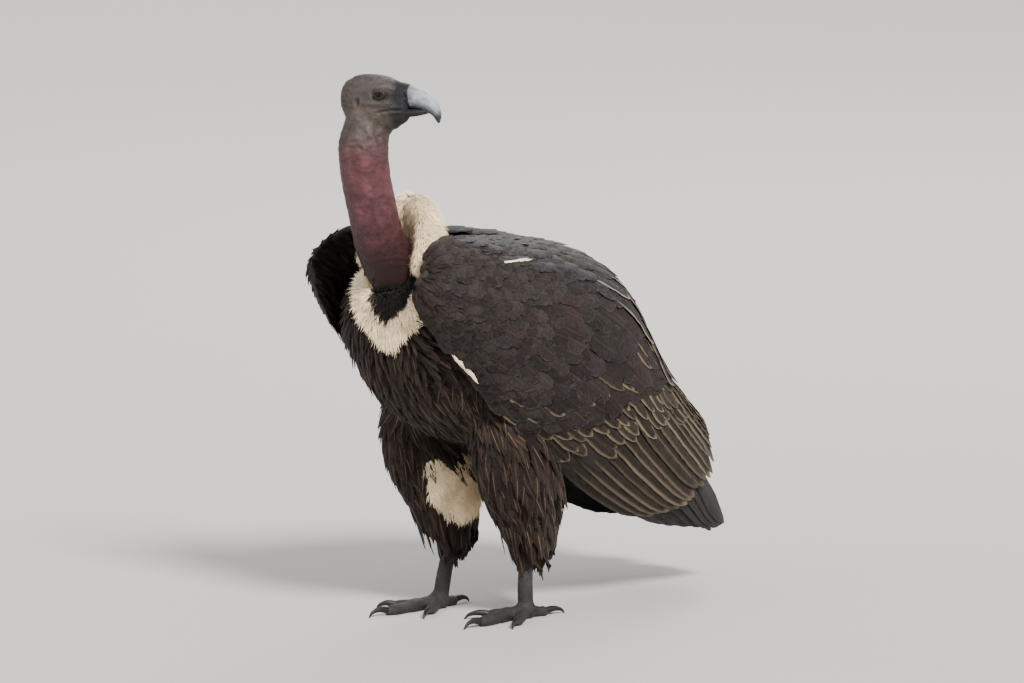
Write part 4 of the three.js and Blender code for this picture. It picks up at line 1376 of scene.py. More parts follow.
def lie_wing(side, s, v, length, drift, rises, t, tilt):
    """Centre lines along the closed wing's face, each tilted so that the upper feather lies on the lower."""
    along = s[:, None] + length[:, None] * t
    up_wing = np.clip(v[:, None] + drift[:, None] * t, 0.004, 0.996)
    centre = place(wing_face(side, along, up_wing))
    out = wing_outward(side, along, up_wing)
    centre = centre + out * blend(rises[0][:, None], rises[1][:, None], t[None, :] ** 0.8)[..., None] * MM
    ahead = unit(np.gradient(centre, axis=1))
    downward = unit(wing_face(side, along, up_wing - 0.01) - wing_face(side, along, up_wing + 0.01))
    out = unit(out - downward * tilt[:, None, None])
    out = square_to(out, ahead)
    return centre, ahead, out, length * MM


covert_length = table([[-40, 18], [0, 26], [60, 36], [110, 48], [160, 66], [210, 88], [300, 108]])
covert_width = table([[-40, 6.5], [0, 8.5], [60, 10.5], [110, 13], [160, 16], [210, 18.5], [300, 19.5]])


def section_length(s):
    """How far it is across the wing's face at s, in millimetres."""
    places = wing_face("left", s, np.linspace(0, 1, 30))
    return np.linalg.norm(np.diff(places, axis=0), axis=1).sum()


covert_end = table([[0, 206], [0.1, 212], [0.2, 246], [0.36, 292], [0.5, 332], [0.65, 366], [1, 380]])


def build_coverts(side):
    """The wing's dark small and middle coverts in rows from the wrist, then its pale-edged great coverts."""
    draw = np.random.default_rng(11 + SIDES[side])
    feathers = plumage()
    coat = Coat()
    template = vane(seed=3, **COVERT)
    s_row, k = -27.0, 0
    while s_row < 340:
        number = max(4, int(section_length(s_row) / covert_width(s_row)[0]))
        v = (np.arange(number) + 0.5 + 0.49 * (k % 2)) / (number + 0.5)
        v = np.clip(v + draw.normal(0, 0.18 / number, number), 0.01, 0.99)
        s = np.maximum(s_row + draw.normal(0, 2.2, number), -24)
        q = s - 95 * (v - 0.5)
        length = covert_length(q)[:, 0] * draw.uniform(0.86, 1.12, number)
        width = covert_width(q)[:, 0] * draw.uniform(0.86, 1.08, number)
        length = np.minimum(length, covert_end(v)[:, 0] - s + draw.uniform(0, 20, number))
        keep = length > np.minimum(30, covert_length(q)[:, 0] * 0.6)
        v, s, q, length, width = v[keep], s[keep], q[keep], length[keep], width[keep]
        number = len(s)
        ends = ease(-30, 10, s)
        rises = (-4.5 + draw.normal(0, 0.4, number), 0.4 + 0.9 * ends + draw.normal(0, 0.5, number))
        behind = ease(110, 290, q)[:, None]
        tone = varied(feathers.covert, 0.62, 1.5, number, draw) * (1 - 0.3 * behind)
        tone = tone * blend(np.ones(3), [1.08, 0.97, 0.95], behind)
        tone = tone * (1 + draw.normal(0, 0.05, (number, 3)))
        edge = 0.06 + 0.55 * draw.random(number) ** 2
        drift, tilt = draw.normal(0, 0.014, number), draw.normal(0.1, 0.06, number)
        lie = lie_wing(side, s, v, length, drift, rises, template["t"], tilt)
        streak = 0.12 * draw.random(number)
        coat.add(lie, width * MM, template, tone, streak, edge, wing_patch(side, s, v), draw)
        s_row += covert_length(s_row)[0] * 0.25
        k += 1
    finish_coat(coat, f"coverts_{side}", "covert_vane", "wing_coverts")
    coat = Coat()
    template = vane(seed=4, **GREAT)
    number = 22
    for k, ahead in enumerate(GREAT_ROWS):
        v = (np.arange(number) + 0.3 + 0.45 * (k % 2)) / number * 0.97
        v = np.clip(v + draw.normal(0, 0.006, number), 0.012, 0.985)
        tip = covert_end(v)[:, 0] + ahead + 22 + draw.normal(0, 7, number)
        length = draw.uniform(92, 116, number)
        tone = varied(feathers.secondary, 0.6, 1.25, number, draw)
        rises = (-5.0 + draw.normal(0, 0.3, number), 0.2 - 0.35 * k + draw.normal(0, 0.4, number))
        s = tip - length
        drift, tilt = draw.normal(0, 0.008, number), draw.normal(0.18, 0.05, number)
        lie = lie_wing(side, s, v, length, drift, rises, template["t"], tilt)
        edge = draw.uniform(0.35, 1.0, number) * (0.55 + 0.45 * (1 - ease(0.62, 0.8, v)))
        width = draw.uniform(8.5, 10.5, number) * MM
        coat.add(lie, width, template, tone, 0.25, edge, wing_patch(side, s, v), draw, GREAT_PATCH)
    finish_coat(coat, f"great_coverts_{side}", "secondary_vane", "wing_coverts")


def build_scapulars(side):
    """The shoulder feathers over the wing's upper edge, the long pale-edged ones behind, and the white ones."""
    draw = np.random.default_rng(31 + SIDES[side])
    feathers = plumage()
    coat = Coat()
    template = vane(seed=5, **COVERT)
    number = 6
    for k, s_row in enumerate(np.arange(20, 222, 13.0)):
        lowest = blend(0.84, 0.7, ease(20, 110, s_row))
        v = np.linspace(lowest, 0.985, number) + (k % 2) * 0.02 + draw.normal(0, 0.008, number)
        s = s_row + draw.normal(0, 4, number) - 12 * np.linspace(1, 0, number)
        length = blend(42, 82, ease(10, 170, s)) * draw.uniform(0.85, 1.12, number)
        width = blend(10, 16, ease(0, 160, s)) * draw.uniform(0.85, 1.1, number)
        rises = (-3.4 + draw.normal(0, 0.5, number), 1.8 + draw.normal(0, 0.7, number))
        tone = varied(feathers.scapular, 0.7, 1.5, number, draw)
        drift, tilt = draw.normal(0, 0.012, number), draw.normal(0.14, 0.06, number)
        lie = lie_wing(side, s, v, length, drift, rises, template["t"], tilt)
        edge = 0.15 + 0.5 * draw.random(number)
        coat.add(lie, width * MM, template, tone, 0.1, edge, wing_patch(side, s, v), draw)
    finish_coat(coat, f"scapulars_{side}", "scapular_vane", "wing_coverts")
    coat = Coat()
    template = vane(seed=6, **GREAT)
    s = np.array([176, 188, 204, 222, 240, 232, 262, 285, 296, 306.0])
    v = np.array([0.75, 0.84, 0.93, 0.79, 0.88, 0.71, 0.95, 0.83, 0.75, 0.9])
    number = len(s)
    length = draw.uniform(104, 128, number)
    rises = (np.full(number, -1.5), 2.8 + draw.normal(0, 0.4, number))
    drift = draw.normal(-0.004, 0.004, number)
    lie = lie_wing(side, s, v, length, drift, rises, template["t"], np.full(number, LONG_TILT))
    tone = varied(feathers.scapular, 0.8, 1.4, number, draw)
    width, edge = draw.uniform(8.5, 11, number) * MM, draw.uniform(0.45, 1.0, number)
    coat.add(lie, width, template, tone, 0.0, edge, wing_patch(side, s, v), draw, GREAT_PATCH)
    finish_coat(coat, f"tertials_{side}", "tertial_vane", "wing_coverts")
    coat = Coat()
    template = vane(seed=8, **CONTOUR)
    s = np.array([68, 75, 82, 88, 93, 60, 66, 71, 77, 82, 88, 94.0])
    v = np.array([0.692, 0.702, 0.708, 0.72, 0.716, 0.006, 0.016, 0.004, 0.015, 0.005, 0.014, 0.006])
    low = v < 0.5
    number = len(s)
    length = np.where(low, 19.0, 22.0) * draw.uniform(0.8, 1.2, number)
    rises = (np.where(low, 0.4, 0.6), np.where(low, 3.2, 3.0))
    drift, tilt = np.where(low, -0.006, 0.014), np.where(low, 0.0, 0.15)
    lie = lie_wing(side, s, v, length, drift, rises, template["t"], tilt)
    width = np.where(low, 2.7, 2.0) * MM
    coat.add(lie, width, template, tone_of(feathers.down), 0.0, 0.0, wing_patch(side, s, v), draw)
    finish_coat(coat, f"white_lining_{side}", "down", "white_down")


secondary_tip = table([[0, 462], [0.25, 498], [0.5, 518], [0.75, 518], [1, 496]])
primary_tip = table([[0, 528], [0.3, 562], [0.65, 594], [1, 604]])


def flight_row(seed, side, v, roots, tips, width, depths, tones, streak, edge, draw):
    """A coat of flight feathers from the wing's lower edge upward, below its face by depths (two ends)."""
    coat = Coat()
    template = vane(seed=seed, **FLIGHT)
    rises = (-depths[0], -depths[1])
    drift = draw.normal(0, 0.006, len(v))
    lie = lie_wing(side, roots, v, tips - roots, drift, rises, template["t"], np.full(len(v), LONG_TILT))
    coat.add(lie, width * MM, template, tones, streak, edge, wing_patch(side, roots, v), draw, LONG_PATCH)
    return coat


def build_secondaries(side):
    """The secondaries, each overlapping the one below it."""
    draw = np.random.default_rng(51 + SIDES[side])
    number = 20
    shares = np.linspace(0, 1, number)
    v = blend(0.035, 0.96, shares)
    tips = secondary_tip(shares)[:, 0] + draw.normal(0, 6, number)
    tones = varied(plumage().secondary, 0.6, 1.2, number, draw)
    depths = (np.full(number, 6.0), blend(2.2, 0.6, shares) + draw.normal(0, 0.3, number))
    edge = draw.uniform(0.25, 1.0, number)
    roots, width = blend(262.0, 300.0, shares), draw.uniform(10.5, 13.0, number)
    coat = flight_row(7, side, v, roots, tips, width, depths, tones, 0.3, edge, draw)
    finish_coat(
        coat, f"secondaries_{side}_vanes", "secondary_vane", "secondary_feathers", f"wing_{side}_secondaries",
        thick=True)


def build_primaries(side):
    """The folded primaries, whose tips reach past the secondaries."""
    draw = np.random.default_rng(71 + SIDES[side])
    number = 8
    shares = np.linspace(0, 1, number)
    v = blend(0.06, 0.52, shares)
    tips = primary_tip(shares)[:, 0] - 3
    tones = varied(plumage().black, 0.8, 1.3, number, draw)
    depths = (np.full(number, 10.0), blend(10.0, 7.0, shares))
    roots, width = np.full(number, 330.0), draw.uniform(14, 16, number)
    coat = flight_row(9, side, v, roots, tips, width, depths, tones, 0.12, 0.3, draw)
    finish_coat(
        coat, f"primaries_{side}_vanes", "black_vane", "flight_feathers", f"wing_{side}_primaries", thick=True)


TAIL_BASE = np.array([0.0, 176.0, 252.0])
TAIL_SLOPE = math.radians(49)


def build_tail():
    """Twelve tail feathers in a shallow arch."""
    draw = np.random.default_rng(91)
    coat = Coat()
    template = vane(seed=13, **FLIGHT)
    back = np.array([0, math.cos(TAIL_SLOPE), -math.sin(TAIL_SLOPE)])
    over = np.array([0, math.sin(TAIL_SLOPE), math.cos(TAIL_SLOPE)])
    shares = np.linspace(-1, 1, TAIL_FEATHERS)
    t = template["t"][None, :]
    long = (250 - 14 * shares ** 2 - draw.uniform(0, 4, TAIL_FEATHERS))[:, None]
    x = shares[:, None] * blend(26, 46, t)
    layer = -np.abs(shares)[:, None] * 5 - 0.006 * x * x
    centre = place(TAIL_BASE + back * (t * long)[..., None] + over * layer[..., None] + ACROSS * x[..., None])
    ahead = unit(np.gradient(centre, axis=1))
    out = unit(over + ACROSS * (0.1 * shares)[:, None, None] + np.zeros_like(centre))
    out = square_to(out, ahead)
    tones = varied(plumage().black, 0.8, 1.35, TAIL_FEATHERS, draw)
    uv = patch("body", 0.5 + shares * 0.1, np.full(TAIL_FEATHERS, 0.95))
    lie = centre, ahead, out, long[:, 0] * MM
    coat.add(lie, TAIL_WIDTH, template, tones, 0.3, 0.35, uv, draw, LONG_PATCH)
    finish_coat(coat, "tail_vanes", "black_vane", "flight_feathers", "tail", thick=True)


def body_flow(at, way):
    """The way the body's feathers point."""
    x, y, z = at.T
    side = np.sign(x)
    none, one = 0 * x, 0 * x + 1
    breast = np.stack([0.16 * side * ease(300, 380, z), 0.18 * one, -one], axis=1)
    belly = np.stack([none, 0.95 * one, -0.3 * one], axis=1)
    back = np.stack([none, 0.82 * one, -0.57 * one], axis=1)
    flow = blend(breast, belly, (ease(0.25, 0.85, -way[:, 2]) * ease(170, 230, z))[:, None])
    flow = blend(flow, back, ease(0.0, 0.45, way[:, 2])[:, None])
    flow = blend(flow, blend(breast, belly, 0.35), (ease(-60, 60, y) * ease(-0.1, 0.1, -way[:, 2]))[:, None])
    flow = blend(flow, np.stack([none, 0.3 * one, -one], axis=1), (1 - ease(185, 225, z))[:, None])
    shoulder = ease(46, 66, np.abs(x)) * ease(300, 350, z) * (1 - ease(-110, -80, y))
    flow = blend(flow, np.stack([0.75 * side, 0.55 * one, -0.5 * one], axis=1), shoulder[:, None])
    return square_to(flow, way)


def under_wings(points, ways, flows):
    """Which places are wholly hidden by the wings."""
    bm = solid_copy("wing_left_arm", "wing_right_arm", "wing_left_secondaries", "wing_right_secondaries")
    cover = BVHTree.FromBMesh(bm)
    bm.free()
    hidden = np.ones(len(points), bool)
    for shift in (-0.04, 0.0, 0.045, 0.08):
        for i in np.flatnonzero(hidden):
            start = Vector(points[i] + ways[i] * 0.002 + flows[i] * shift)
            if cover.ray_cast(start, Vector(ways[i]), 0.09)[0] is None:
                hidden[i] = False
    return hidden


def built_skin():
    """The skin's mesh, which the collar and the fine down lie on."""
    if "skin" not in bpy.data.objects:
        raise RuntimeError("build the skin first")
    return bpy.data.objects["skin"].data


def down_tufts(coat, tree, points, flows, lengths, tone, draw):
    """Adds down tufts at the points."""
    tuft = strand(rows=3, kinds=10, seed=23, blades=7, spread=4.0, curl=1.8)
    number = len(points)
    at = drawn(points)
    rises = (np.full(number, -0.004), 0.0016 + draw.normal(0, 0.0009, number))
    lie = lie_on(tree, points, flows, lengths, rises, tuft[0]["t"])
    tone = tone * draw.uniform(0.9, 1.06, (number, 1)) * (1 + draw.normal(0, 0.012, (number, 3)))
    coat.add(lie, draw.uniform(0.0008, 0.00115, number), tuft, tone, 0.0, 0.0, body_patch(at), draw)


def add_collar(coat, draw):
    """Adds the down that hides where the bare neck leaves the body."""
    skin = built_skin()
    tree = tree_of(skin)

    def gap(points, ways):
        """The least distance between roots."""
        at = drawn(points)
        near = (around_neck(at) < 52) & (at[:, 2] > 384) & (at[:, 2] < 409) & (at[:, 1] < -78)
        return np.where(near, plumage().down_gap, 0)

    points, ways = scattered(skin, gap, 90000, draw)
    at = drawn(points)
    away = at - NECK_FOOT
    away[:, 2] = -22
    flow = unit(away)
    flow = strayed(square_to(flow, ways), ways, 0.2, draw)
    white = chest_white(at) > 0.5
    for chosen, tone in ((white, plumage().down), (~white, plumage().black)):
        lengths = plumage().down_length * draw.uniform(0.5, 0.85, chosen.sum())
        down_tufts(coat, tree, points[chosen], flow[chosen], lengths, tone_of(tone), draw)


def on_crop(at, ways):
    """Which places have the crop's black down."""
    return (crop_dark(at) > 0.3) & (ways[:, 1] < 0.3)


def body_gap(points, ways):
    """The least distance between the roots of the body's feathers and down."""
    feathers, at = plumage(), drawn(points)
    wide = np.full(len(at), feathers.body_gap)
    wide = np.where(at[:, 2] > 330, feathers.body_gap * 0.74, wide)
    wide = np.where((ways[:, 2] > 0.5) & (at[:, 1] < 60), feathers.body_gap * 0.78, wide)
    wide = np.where(on_crop(at, ways), feathers.down_gap * 1.1, wide)
    return np.where(np.maximum(chest_white(at), thigh_white(at)) > 0.5, feathers.down_gap, wide)


def body_roots(surface, draw):
    """Roots on the body where the wings don't hide them, with the ways they look and flow."""
    points, ways = scattered(surface, body_gap, 90000, draw)
    at = drawn(points)
    flows = body_flow(at, ways)
    keep = ~under_wings(points, ways, flows) | (at[:, 2] < 250) | (at[:, 1] < -95)
    return points[keep], ways[keep], flows[keep]


def room_before_white(at, flows):
    """How far a feather can reach before it covers the white of the thighs, in millimetres."""
    reach = np.full(len(at), 200.0)
    for far in (70, 60, 50, 42, 34, 26, 18, 10):
        reach = np.where(thigh_white(at + flows * far) > 0.5, far, reach)
    return reach


def body_lengths(at, crop, reach, draw):
    """The lengths of the body's feathers, in metres."""
    size = blend(30, 48, 1 - ease(260, 370, at[:, 2]))
    size = np.where(at[:, 2] < 215, 56, size) * draw.uniform(0.75, 1.3, len(at))
    size = np.where(at[:, 1] > 165, 52.0, size)
    size = np.where(crop > 0.3, 17 * draw.uniform(0.8, 1.2, len(at)), size)
    return np.minimum(size, reach + draw.uniform(0, 11, len(at))) * MM


def body_rises(at, draw):
    """How far both ends of a feather stand off: more on the shoulders and in the hollows over the thighs."""
    x, y, z = np.abs(at[:, 0]), at[:, 1], at[:, 2]
    shoulder = ease(48, 64, x) * ease(310, 350, z) * (1 - ease(-110, -80, y))
    loose = np.where(z < 200, 0.0022, 0.001) + shoulder * 0.007
    crease = ease(76, 90, x) * ease(-60, -30, y) * (1 - ease(50, 75, y)) * (
        ease(160, 185, z) * (1 - ease(240, 262, z)))
    return -0.006 + 0.0045 * crease, loose + 0.0045 * crease + draw.normal(0, 0.001, len(at))


def add_body_feathers(coat, tree, points, ways, flows, reach, draw):
    """Adds the body's feathers: brown with pale streaks, black on crop and back, white on the rump."""
    feathers = plumage()
    template = vane(seed=21, **CONTOUR)
    at, number = drawn(points), len(points)
    crop, rump = crop_dark(at), rump_white(at) > 0.5
    length = body_lengths(at, crop, reach, draw)
    tone = varied(feathers.body, 0.6, 1.5, number, draw) * (1 + draw.normal(0, 0.05, (number, 3)))
    tone = blend(tone, tone_of(feathers.black) * 0.9, np.maximum(crop > 0.5, ways[:, 2] > 0.55)[:, None])
    tone = np.where(rump[:, None], tone_of(feathers.down), tone)
    plain = rump | (crop > 0.3) | (ways[:, 2] > 0.5)
    streak = np.where(plain, 0, draw.uniform(0.0, 1.0, number) ** 1.4)
    lie = lie_on(tree, points, flows, length, body_rises(at, draw), template["t"])
    rear = ease(150, 190, at[:, 1])
    hang = 0.85 * np.maximum(1 - ease(116, 172, at[:, 2]), rear) * draw.uniform(0.5, 1, number)
    hang_way = blend(np.array([0, 0.12, -1.0]), np.array([0, 0.66, -0.75]), rear[:, None])
    lie = hanging(lie, hang, hang_way, length, template["t"])
    width = length * draw.uniform(0.105, 0.15, number)
    width = np.where(crop > 0.3, length * 0.2, width)
    coat.add(lie, width, template, tone, streak, 0.25 * draw.random(number), body_patch(at), draw)


def build_body_coat():
    """Breast, belly, flank, thigh and back feathers, and the white and black down."""
    draw = np.random.default_rng(101)
    feathers = plumage()
    surface = remeshed(solid_copy("trunk", "thigh_left", "thigh_right"), BODY_VOXEL, 10)
    tree = tree_of(surface)
    points, ways, flows = body_roots(surface, draw)
    at = drawn(points)
    chest = chest_white(at + draw.normal(0, 1.2, at.shape))
    inner = thigh_white(at + draw.normal(0, 3.5, at.shape))
    white = np.maximum(chest, inner) > 0.5
    black = on_crop(at, ways) & ~white
    flows = strayed(flows, ways, 0.16, draw)
    reach = room_before_white(at, flows)
    pick = ~white & ~black & ~((reach < 14) & (draw.random(len(at)) < 0.9))
    coat = Coat()
    add_body_feathers(coat, tree, points[pick], ways[pick], flows[pick], reach[pick], draw)
    finish_coat(coat, "body_feathers", "body_vane", "body_feathers")
    coat = Coat()
    lengths = np.where(chest[white] > 0.5, 1.0, 1.5) * feathers.down_length
    lengths = lengths * draw.uniform(0.75, 1.2, white.sum())
    down_tufts(coat, tree, points[white], flows[white], lengths, tone_of(feathers.down), draw)
    lengths = feathers.down_length * draw.uniform(0.6, 0.95, black.sum())
    down_tufts(coat, tree, points[black], flows[black], lengths, tone_of(feathers.black), draw)
    add_collar(coat, draw)
    finish_coat(coat, "white_down", "down", "white_down")


def at_wrist(at, ways):
    """Which drawn places are at the very front of a closed wing."""
    return (ways[:, 1] < -0.35) & (at[:, 1] < -135) & (at[:, 2] > 385)


def build_linings():
    """The feathers on the inner side of each closed wing's front."""
    draw = np.random.default_rng(111)
    coat = Coat()
    template = vane(seed=22, **CONTOUR)
    for side in SIDES:
        surface = remeshed(solid_copy(f"wing_{side}_arm"), BODY_VOXEL, 6)
        tree = tree_of(surface)

        def gap(points, ways):
            """The least distance between roots."""
            at = drawn(points)
            inner = (ways[:, 0] * SIDES[side] < 0.25) & (at[:, 1] < -20)
            return np.where(at_wrist(at, ways), 0.0048, np.where(inner, 0.0095, 0))

        points, ways = scattered(surface, gap, 16000, draw)
        at = drawn(points)
        number = len(at)
        flow = np.stack([-0.1 * SIDES[side] + 0 * at[:, 0], 0.82 + 0 * at[:, 0], -0.57 + 0 * at[:, 0]], axis=1)
        flow = strayed(square_to(flow, ways), ways, 0.18, draw)
        wrist = at_wrist(at, ways)
        length = np.where(wrist, 0.5, 1.0) * draw.uniform(0.022, 0.036, number)
        rises = (np.where(wrist, -0.002, -0.004), 0.002 + draw.normal(0, 0.001, number))
        lie = lie_on(tree, points, flow, length, rises, template["t"])
        tone = varied(plumage().body, 0.6, 1.3, number, draw)
        width, streak = length * np.where(wrist, 0.24, 0.16), 0.3 * draw.random(number)
        uv = patch(f"wing_{side}", (at[:, 1] + 200) / 400, np.full(number, 0.02))
        coat.add(lie, width, template, tone, streak, 0.1, uv, draw)
    finish_coat(coat, "lining_feathers", "body_vane", "wing_coverts")


def build_ruff():
    """The cream down collar behind the neck."""
    draw = np.random.default_rng(121)
    surface = remeshed(solid_copy("ruff"), RUFF_VOXEL, 8)
    tree = tree_of(surface)
    points, ways = scattered(surface, lambda p, w: np.full(len(p), plumage().down_gap), 36000, draw)
    at = drawn(points)
    flow = np.stack([0.35 * np.sign(at[:, 0]), 0.35 + 0 * at[:, 0], -1.0 + 0 * at[:, 0]], axis=1)
    flow = strayed(square_to(flow, ways), ways, 0.16, draw)
    coat = Coat()
    lengths = plumage().down_length * draw.uniform(0.8, 1.25, len(at))
    down_tufts(coat, tree, points, flow, lengths, tone_of(plumage().down), draw)
    finish_coat(coat, "ruff_down", "down", "white_down")


def build_head_down():
    """Sparse fine down on the head and neck."""
    draw = np.random.default_rng(131)
    skin = built_skin()
    tree = tree_of(skin)

    def gap(points, ways):
        """The least distance between roots."""
        at = drawn(points)
        own = head_own(points)
        wide = blend(0.0036, 0.0012, ease(545, 592, at[:, 2]))
        face = (own[:, 0] > 31) & (at[:, 2] > 575)
        near_eye = np.zeros(len(at), bool)
        for side in SIDES:
            spread = from_eye_line(own, side)
            near_eye |= (spread < 8.5) & (own[:, 1] * SIDES[side] > 0)
        throat = (own[:, 0] > 6) & (own[:, 2] < -19)
        return np.where(face | near_eye | throat | (at[:, 2] < 440), 0, wide)

    points, ways = scattered(skin, gap, 190000, draw)
    at, own = drawn(points), head_own(points)
    bristle = ease(13, 19, own[:, 0]) * (at[:, 2] > 578) * (own[:, 2] > -20)
    nothing = 0 * at[:, 0]
    flow = np.stack([-HEAD_FORWARD[0] + nothing, -HEAD_FORWARD[1] + nothing, -0.9 + nothing], axis=1)
    flow = blend(np.array([0.0, 0.1, -1.0]), flow, ease(550, 585, at[:, 2])[:, None])
    flow = blend(flow, HEAD_FORWARD + np.array([0, 0, -0.35]), bristle[:, None])
    flow = strayed(square_to(flow, ways), ways, 0.3, draw)
    wisp = strand(rows=2, kinds=8, seed=37, blades=3, spread=5.0, curl=3.0)
    number = len(at)
    length = draw.uniform(0.003, 0.0065, number) * (1 + 0.3 * ease(0, 15, -own[:, 0]))
    rises = (np.full(number, -0.0003), draw.uniform(0.0003, 0.001, number))
    lie = lie_on(tree, points, flow, length, rises, wisp[0]["t"])
    head = tone_of(skin_settings().crown) * 1.25
    tone = blend(tone_of(skin_settings().neck) * [1.15, 1.5, 1.3], head, ease(520, 590, at[:, 2])[:, None])
    tone = blend(tone, tone_of(skin_settings().lore) * 0.8, bristle[:, None])
    tone = tone * draw.uniform(0.6, 1.35, (number, 1))
    coat = Coat()
    on_head = patch("head", np.arctan2(own[:, 1], own[:, 2]) / math.tau + 0.5, (own[:, 0] + 45) / 80)
    uv = np.where((at[:, 2] > 580)[:, None], on_head, body_patch(at))
    coat.add(lie, WISP_WIDTH, wisp, tone, 0.0, 0.0, uv, draw)
    finish_coat(coat, "head_down", "fine_down", "bare_skin")


def coat_finish(name):
    """A material of the coat, made when it is first asked for."""
    if name in bpy.data.materials:
        return bpy.data.materials[name]
    streak, buff, grey, pale, down = (
        tuple(getattr(plumage(), setting)) for setting in ("streak", "buff", "grey", "pale", "down"))
    choices = {
        # silver gives the strength of the painted sheen on these vanes.
        "covert_vane": (streak, grey, {"silver": 0.1}),
        "scapular_vane": (grey, grey, {"silver": 0.2, "rough": 0.6, "shine": 0.16}),
        "tertial_vane": (grey, pale, {"silver": 0.1, "rim": (0.62, 0.98)}),
        "secondary_vane": (grey, buff, {"rim": (0.52, 0.96)}),
        "black_vane": (grey, grey, {"rough": 0.55, "shine": 0.16}),
        "body_vane": (streak, streak, {}),
        "down": (down, down, {"barb": (0.86, 1.1), "barb_depth": 0.1, "rough": 0.9}),
        "fine_down": (grey, grey, {"barb": (0.95, 1.05), "barb_depth": 0.0, "rough": 0.9}),
    }
    own_streak, edge, more = choices[name]
    return feather_finish(name, own_streak, edge, **more)


# ---------- stage


def build_stage():
    """Floor, soft lights and camera."""
    stage = bpy.context.scene.vulture_stage
    bm = bmesh.new()
    bmesh.ops.create_grid(bm, x_segments=1, y_segments=1, size=FLOOR_REACH)
    mesh = mesh_of(bm, "floor", outward=False)
    pale = Finish("pale_floor", Roughness=0.85, Specular_IOR_Level=0.2)
    speck = pale.grain(pale.object_places(), 1.2, 2.0)
    floor = tone_of(stage.floor)
    mesh.materials.append(pale.done(pale.mixed(pale.rise(speck, 0.2, 0.8), (*(floor * 0.985), 1), (*floor, 1))))
    object_of(mesh, "floor")
    world = bpy.data.worlds.new("studio")
    world.use_nodes = True
    world.node_tree.nodes["Background"].inputs[0].default_value = (1.0, 0.985, 0.965, 1)
    world.node_tree.nodes["Background"].inputs[1].default_value = stage.sky
    bpy.context.scene.world = world
    aim = Vector(place(FRAME_MIDDLE))
    for name, (kind, spot, size, tint) in LAMPS.items():
        light = bpy.data.lights.new(name, kind)
        light.energy, light.color = getattr(stage, name), tint
        if kind == "SUN":
            light.angle = size
        else:
            light.shape, light.size = "DISK", size
        lamp = bpy.data.objects.new(name, light)
        lamp.location = spot
        lamp.rotation_euler = (aim - Vector(spot)).to_track_quat("-Z", "Y").to_euler()
        bpy.context.scene.collection.objects.link(lamp)
    level = math.cos(VIEW_RISE)
    toward = Vector((math.sin(VIEW_TURN) * level, -math.cos(VIEW_TURN) * level, math.sin(VIEW_RISE)))
    camera = bpy.data.cameras.new("camera")
    camera.lens, camera.sensor_width, camera.clip_end = stage.lens, SENSOR, FAR_CLIP
    seen_from = bpy.data.objects.new("camera", camera)
    seen_from.location = aim + toward * (FRAME_WIDTH * stage.lens / SENSOR)
    seen_from.rotation_euler = (-toward).to_track_quat("-Z", "Y").to_euler()
    bpy.context.scene.collection.objects.link(seen_from)
    bpy.context.scene.camera = seen_from


# ---------- operators, panel and registration


class VULTURE_OT_skin(bpy.types.Operator):
    """Build one skin over head, neck, body and legs"""
    bl_idname = "vulture.skin"
    bl_label = "Skin"

    def execute(self, context):
        build_skin()
        return {"FINISHED"}


class VULTURE_OT_bill(bpy.types.Operator):
    """Build both halves of the bill"""
    bl_idname = "vulture.bill"
    bl_label = "Bill"

    def execute(self, context):
        build_bill()
        return {"FINISHED"}


class VULTURE_OT_eyes(bpy.types.Operator):
    """Build both eyes"""
    bl_idname = "vulture.eyes"
    bl_label = "Eyes"

    def execute(self, context):
        build_eyes()
        return {"FINISHED"}


class VULTURE_OT_claws(bpy.types.Operator):
    """Build all eight claws"""
    bl_idname = "vulture.claws"
    bl_label = "Claws"

    def execute(self, context):
        build_claws()
        return {"FINISHED"}


class VULTURE_OT_coverts(bpy.types.Operator):
    """Build the coverts of both wings and the linings behind their fronts"""
    bl_idname = "vulture.coverts"
    bl_label = "Wing coverts"

    def execute(self, context):
        for side in SIDES:
            build_coverts(side)
        build_linings()
        return {"FINISHED"}


class VULTURE_OT_scapulars(bpy.types.Operator):
    """Build the shoulder feathers of both wings"""
    bl_idname = "vulture.scapulars"
    bl_label = "Shoulder feathers"

    def execute(self, context):
        for side in SIDES:
            build_scapulars(side)
        return {"FINISHED"}


class VULTURE_OT_flight_feathers(bpy.types.Operator):
    """Build the secondaries and primaries of both wings, and the tail"""
    bl_idname = "vulture.flight_feathers"
    bl_label = "Flight feathers and tail"

    def execute(self, context):
        for side in SIDES:
            build_secondaries(side)
            build_primaries(side)
        build_tail()
        return {"FINISHED"}


class VULTURE_OT_body_coat(bpy.types.Operator):
    """Build the feathers and white down of the body and thighs"""
    bl_idname = "vulture.body_coat"
    bl_label = "Body feathers"

    def execute(self, context):
        build_body_coat()
        return {"FINISHED"}


class VULTURE_OT_ruff(bpy.types.Operator):
    """Build the down of the ruff"""
    bl_idname = "vulture.ruff"
    bl_label = "Ruff"

    def execute(self, context):
        build_ruff()
        return {"FINISHED"}


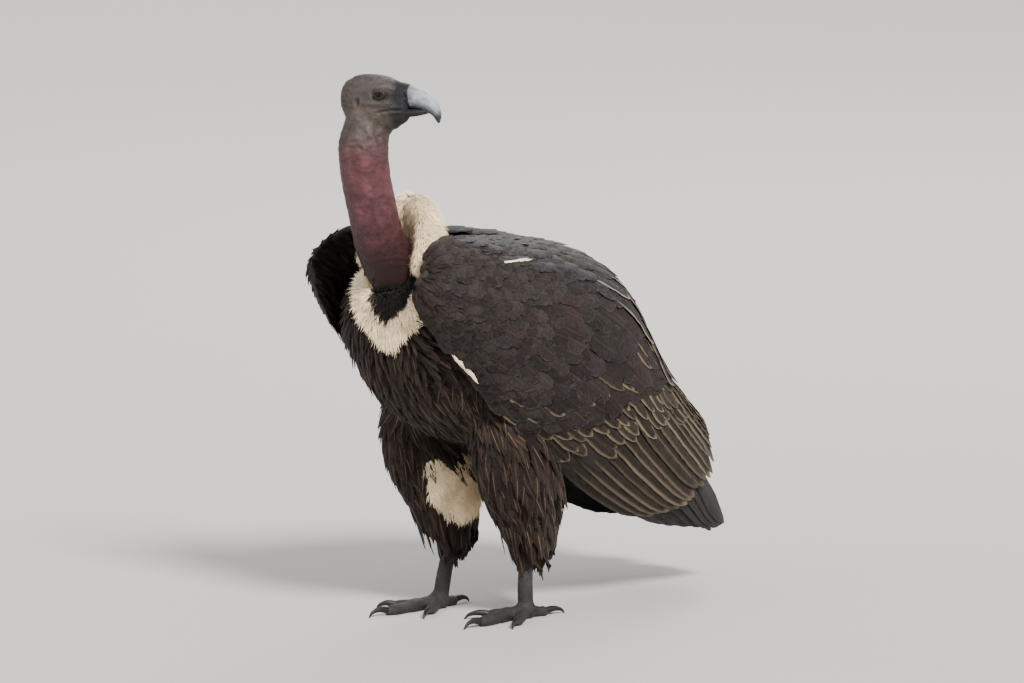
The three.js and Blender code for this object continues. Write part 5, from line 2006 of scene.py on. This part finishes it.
class VULTURE_OT_head_down(bpy.types.Operator):
    """Build the fine down of head and neck, on the skin"""
    bl_idname = "vulture.head_down"
    bl_label = "Head down"

    def execute(self, context):
        build_head_down()
        return {"FINISHED"}


class VULTURE_OT_stage(bpy.types.Operator):
    """Build the floor, the lights and the camera"""
    bl_idname = "vulture.stage"
    bl_label = "Stage"

    def execute(self, context):
        build_stage()
        return {"FINISHED"}


PIECES = (
    VULTURE_OT_skin, VULTURE_OT_bill, VULTURE_OT_eyes, VULTURE_OT_claws, VULTURE_OT_coverts,
    VULTURE_OT_scapulars, VULTURE_OT_flight_feathers, VULTURE_OT_body_coat, VULTURE_OT_ruff,
    VULTURE_OT_head_down, VULTURE_OT_stage,
)
SETTINGS = {
    "vulture_skin": VultureSkin, "vulture_horn": VultureHorn, "vulture_plumage": VulturePlumage,
    "vulture_stage": VultureStage,
}


class VULTURE_PT_pieces(bpy.types.Panel):
    """Lists the pieces and their settings"""
    bl_idname = "VULTURE_PT_pieces"
    bl_label = "Standing vulture"
    bl_space_type = "VIEW_3D"
    bl_region_type = "UI"
    bl_category = "Vulture"

    def draw(self, context):
        for piece in PIECES:
            self.layout.operator(piece.bl_idname)
        for name, group in SETTINGS.items():
            box = self.layout.box()
            box.label(text=group.__doc__)
            for setting in group.__annotations__:
                box.prop(getattr(context.scene, name), setting)


def register():
    """Adds the settings, operators and panel."""
    for name, group in SETTINGS.items():
        bpy.utils.register_class(group)
        setattr(bpy.types.Scene, name, bpy.props.PointerProperty(type=group))
    for piece in (*PIECES, VULTURE_PT_pieces):
        bpy.utils.register_class(piece)


def unregister():
    """Takes them away again."""
    for piece in (VULTURE_PT_pieces, *reversed(PIECES)):
        bpy.utils.unregister_class(piece)
    for name, group in reversed(SETTINGS.items()):
        delattr(bpy.types.Scene, name)
        bpy.utils.unregister_class(group)


def main():
    """Registers everything and builds the pieces in order."""
    register()
    for piece in PIECES:
        getattr(bpy.ops.vulture, piece.bl_idname.split(".")[1])()
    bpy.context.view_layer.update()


if __name__ == "__main__":
    main()
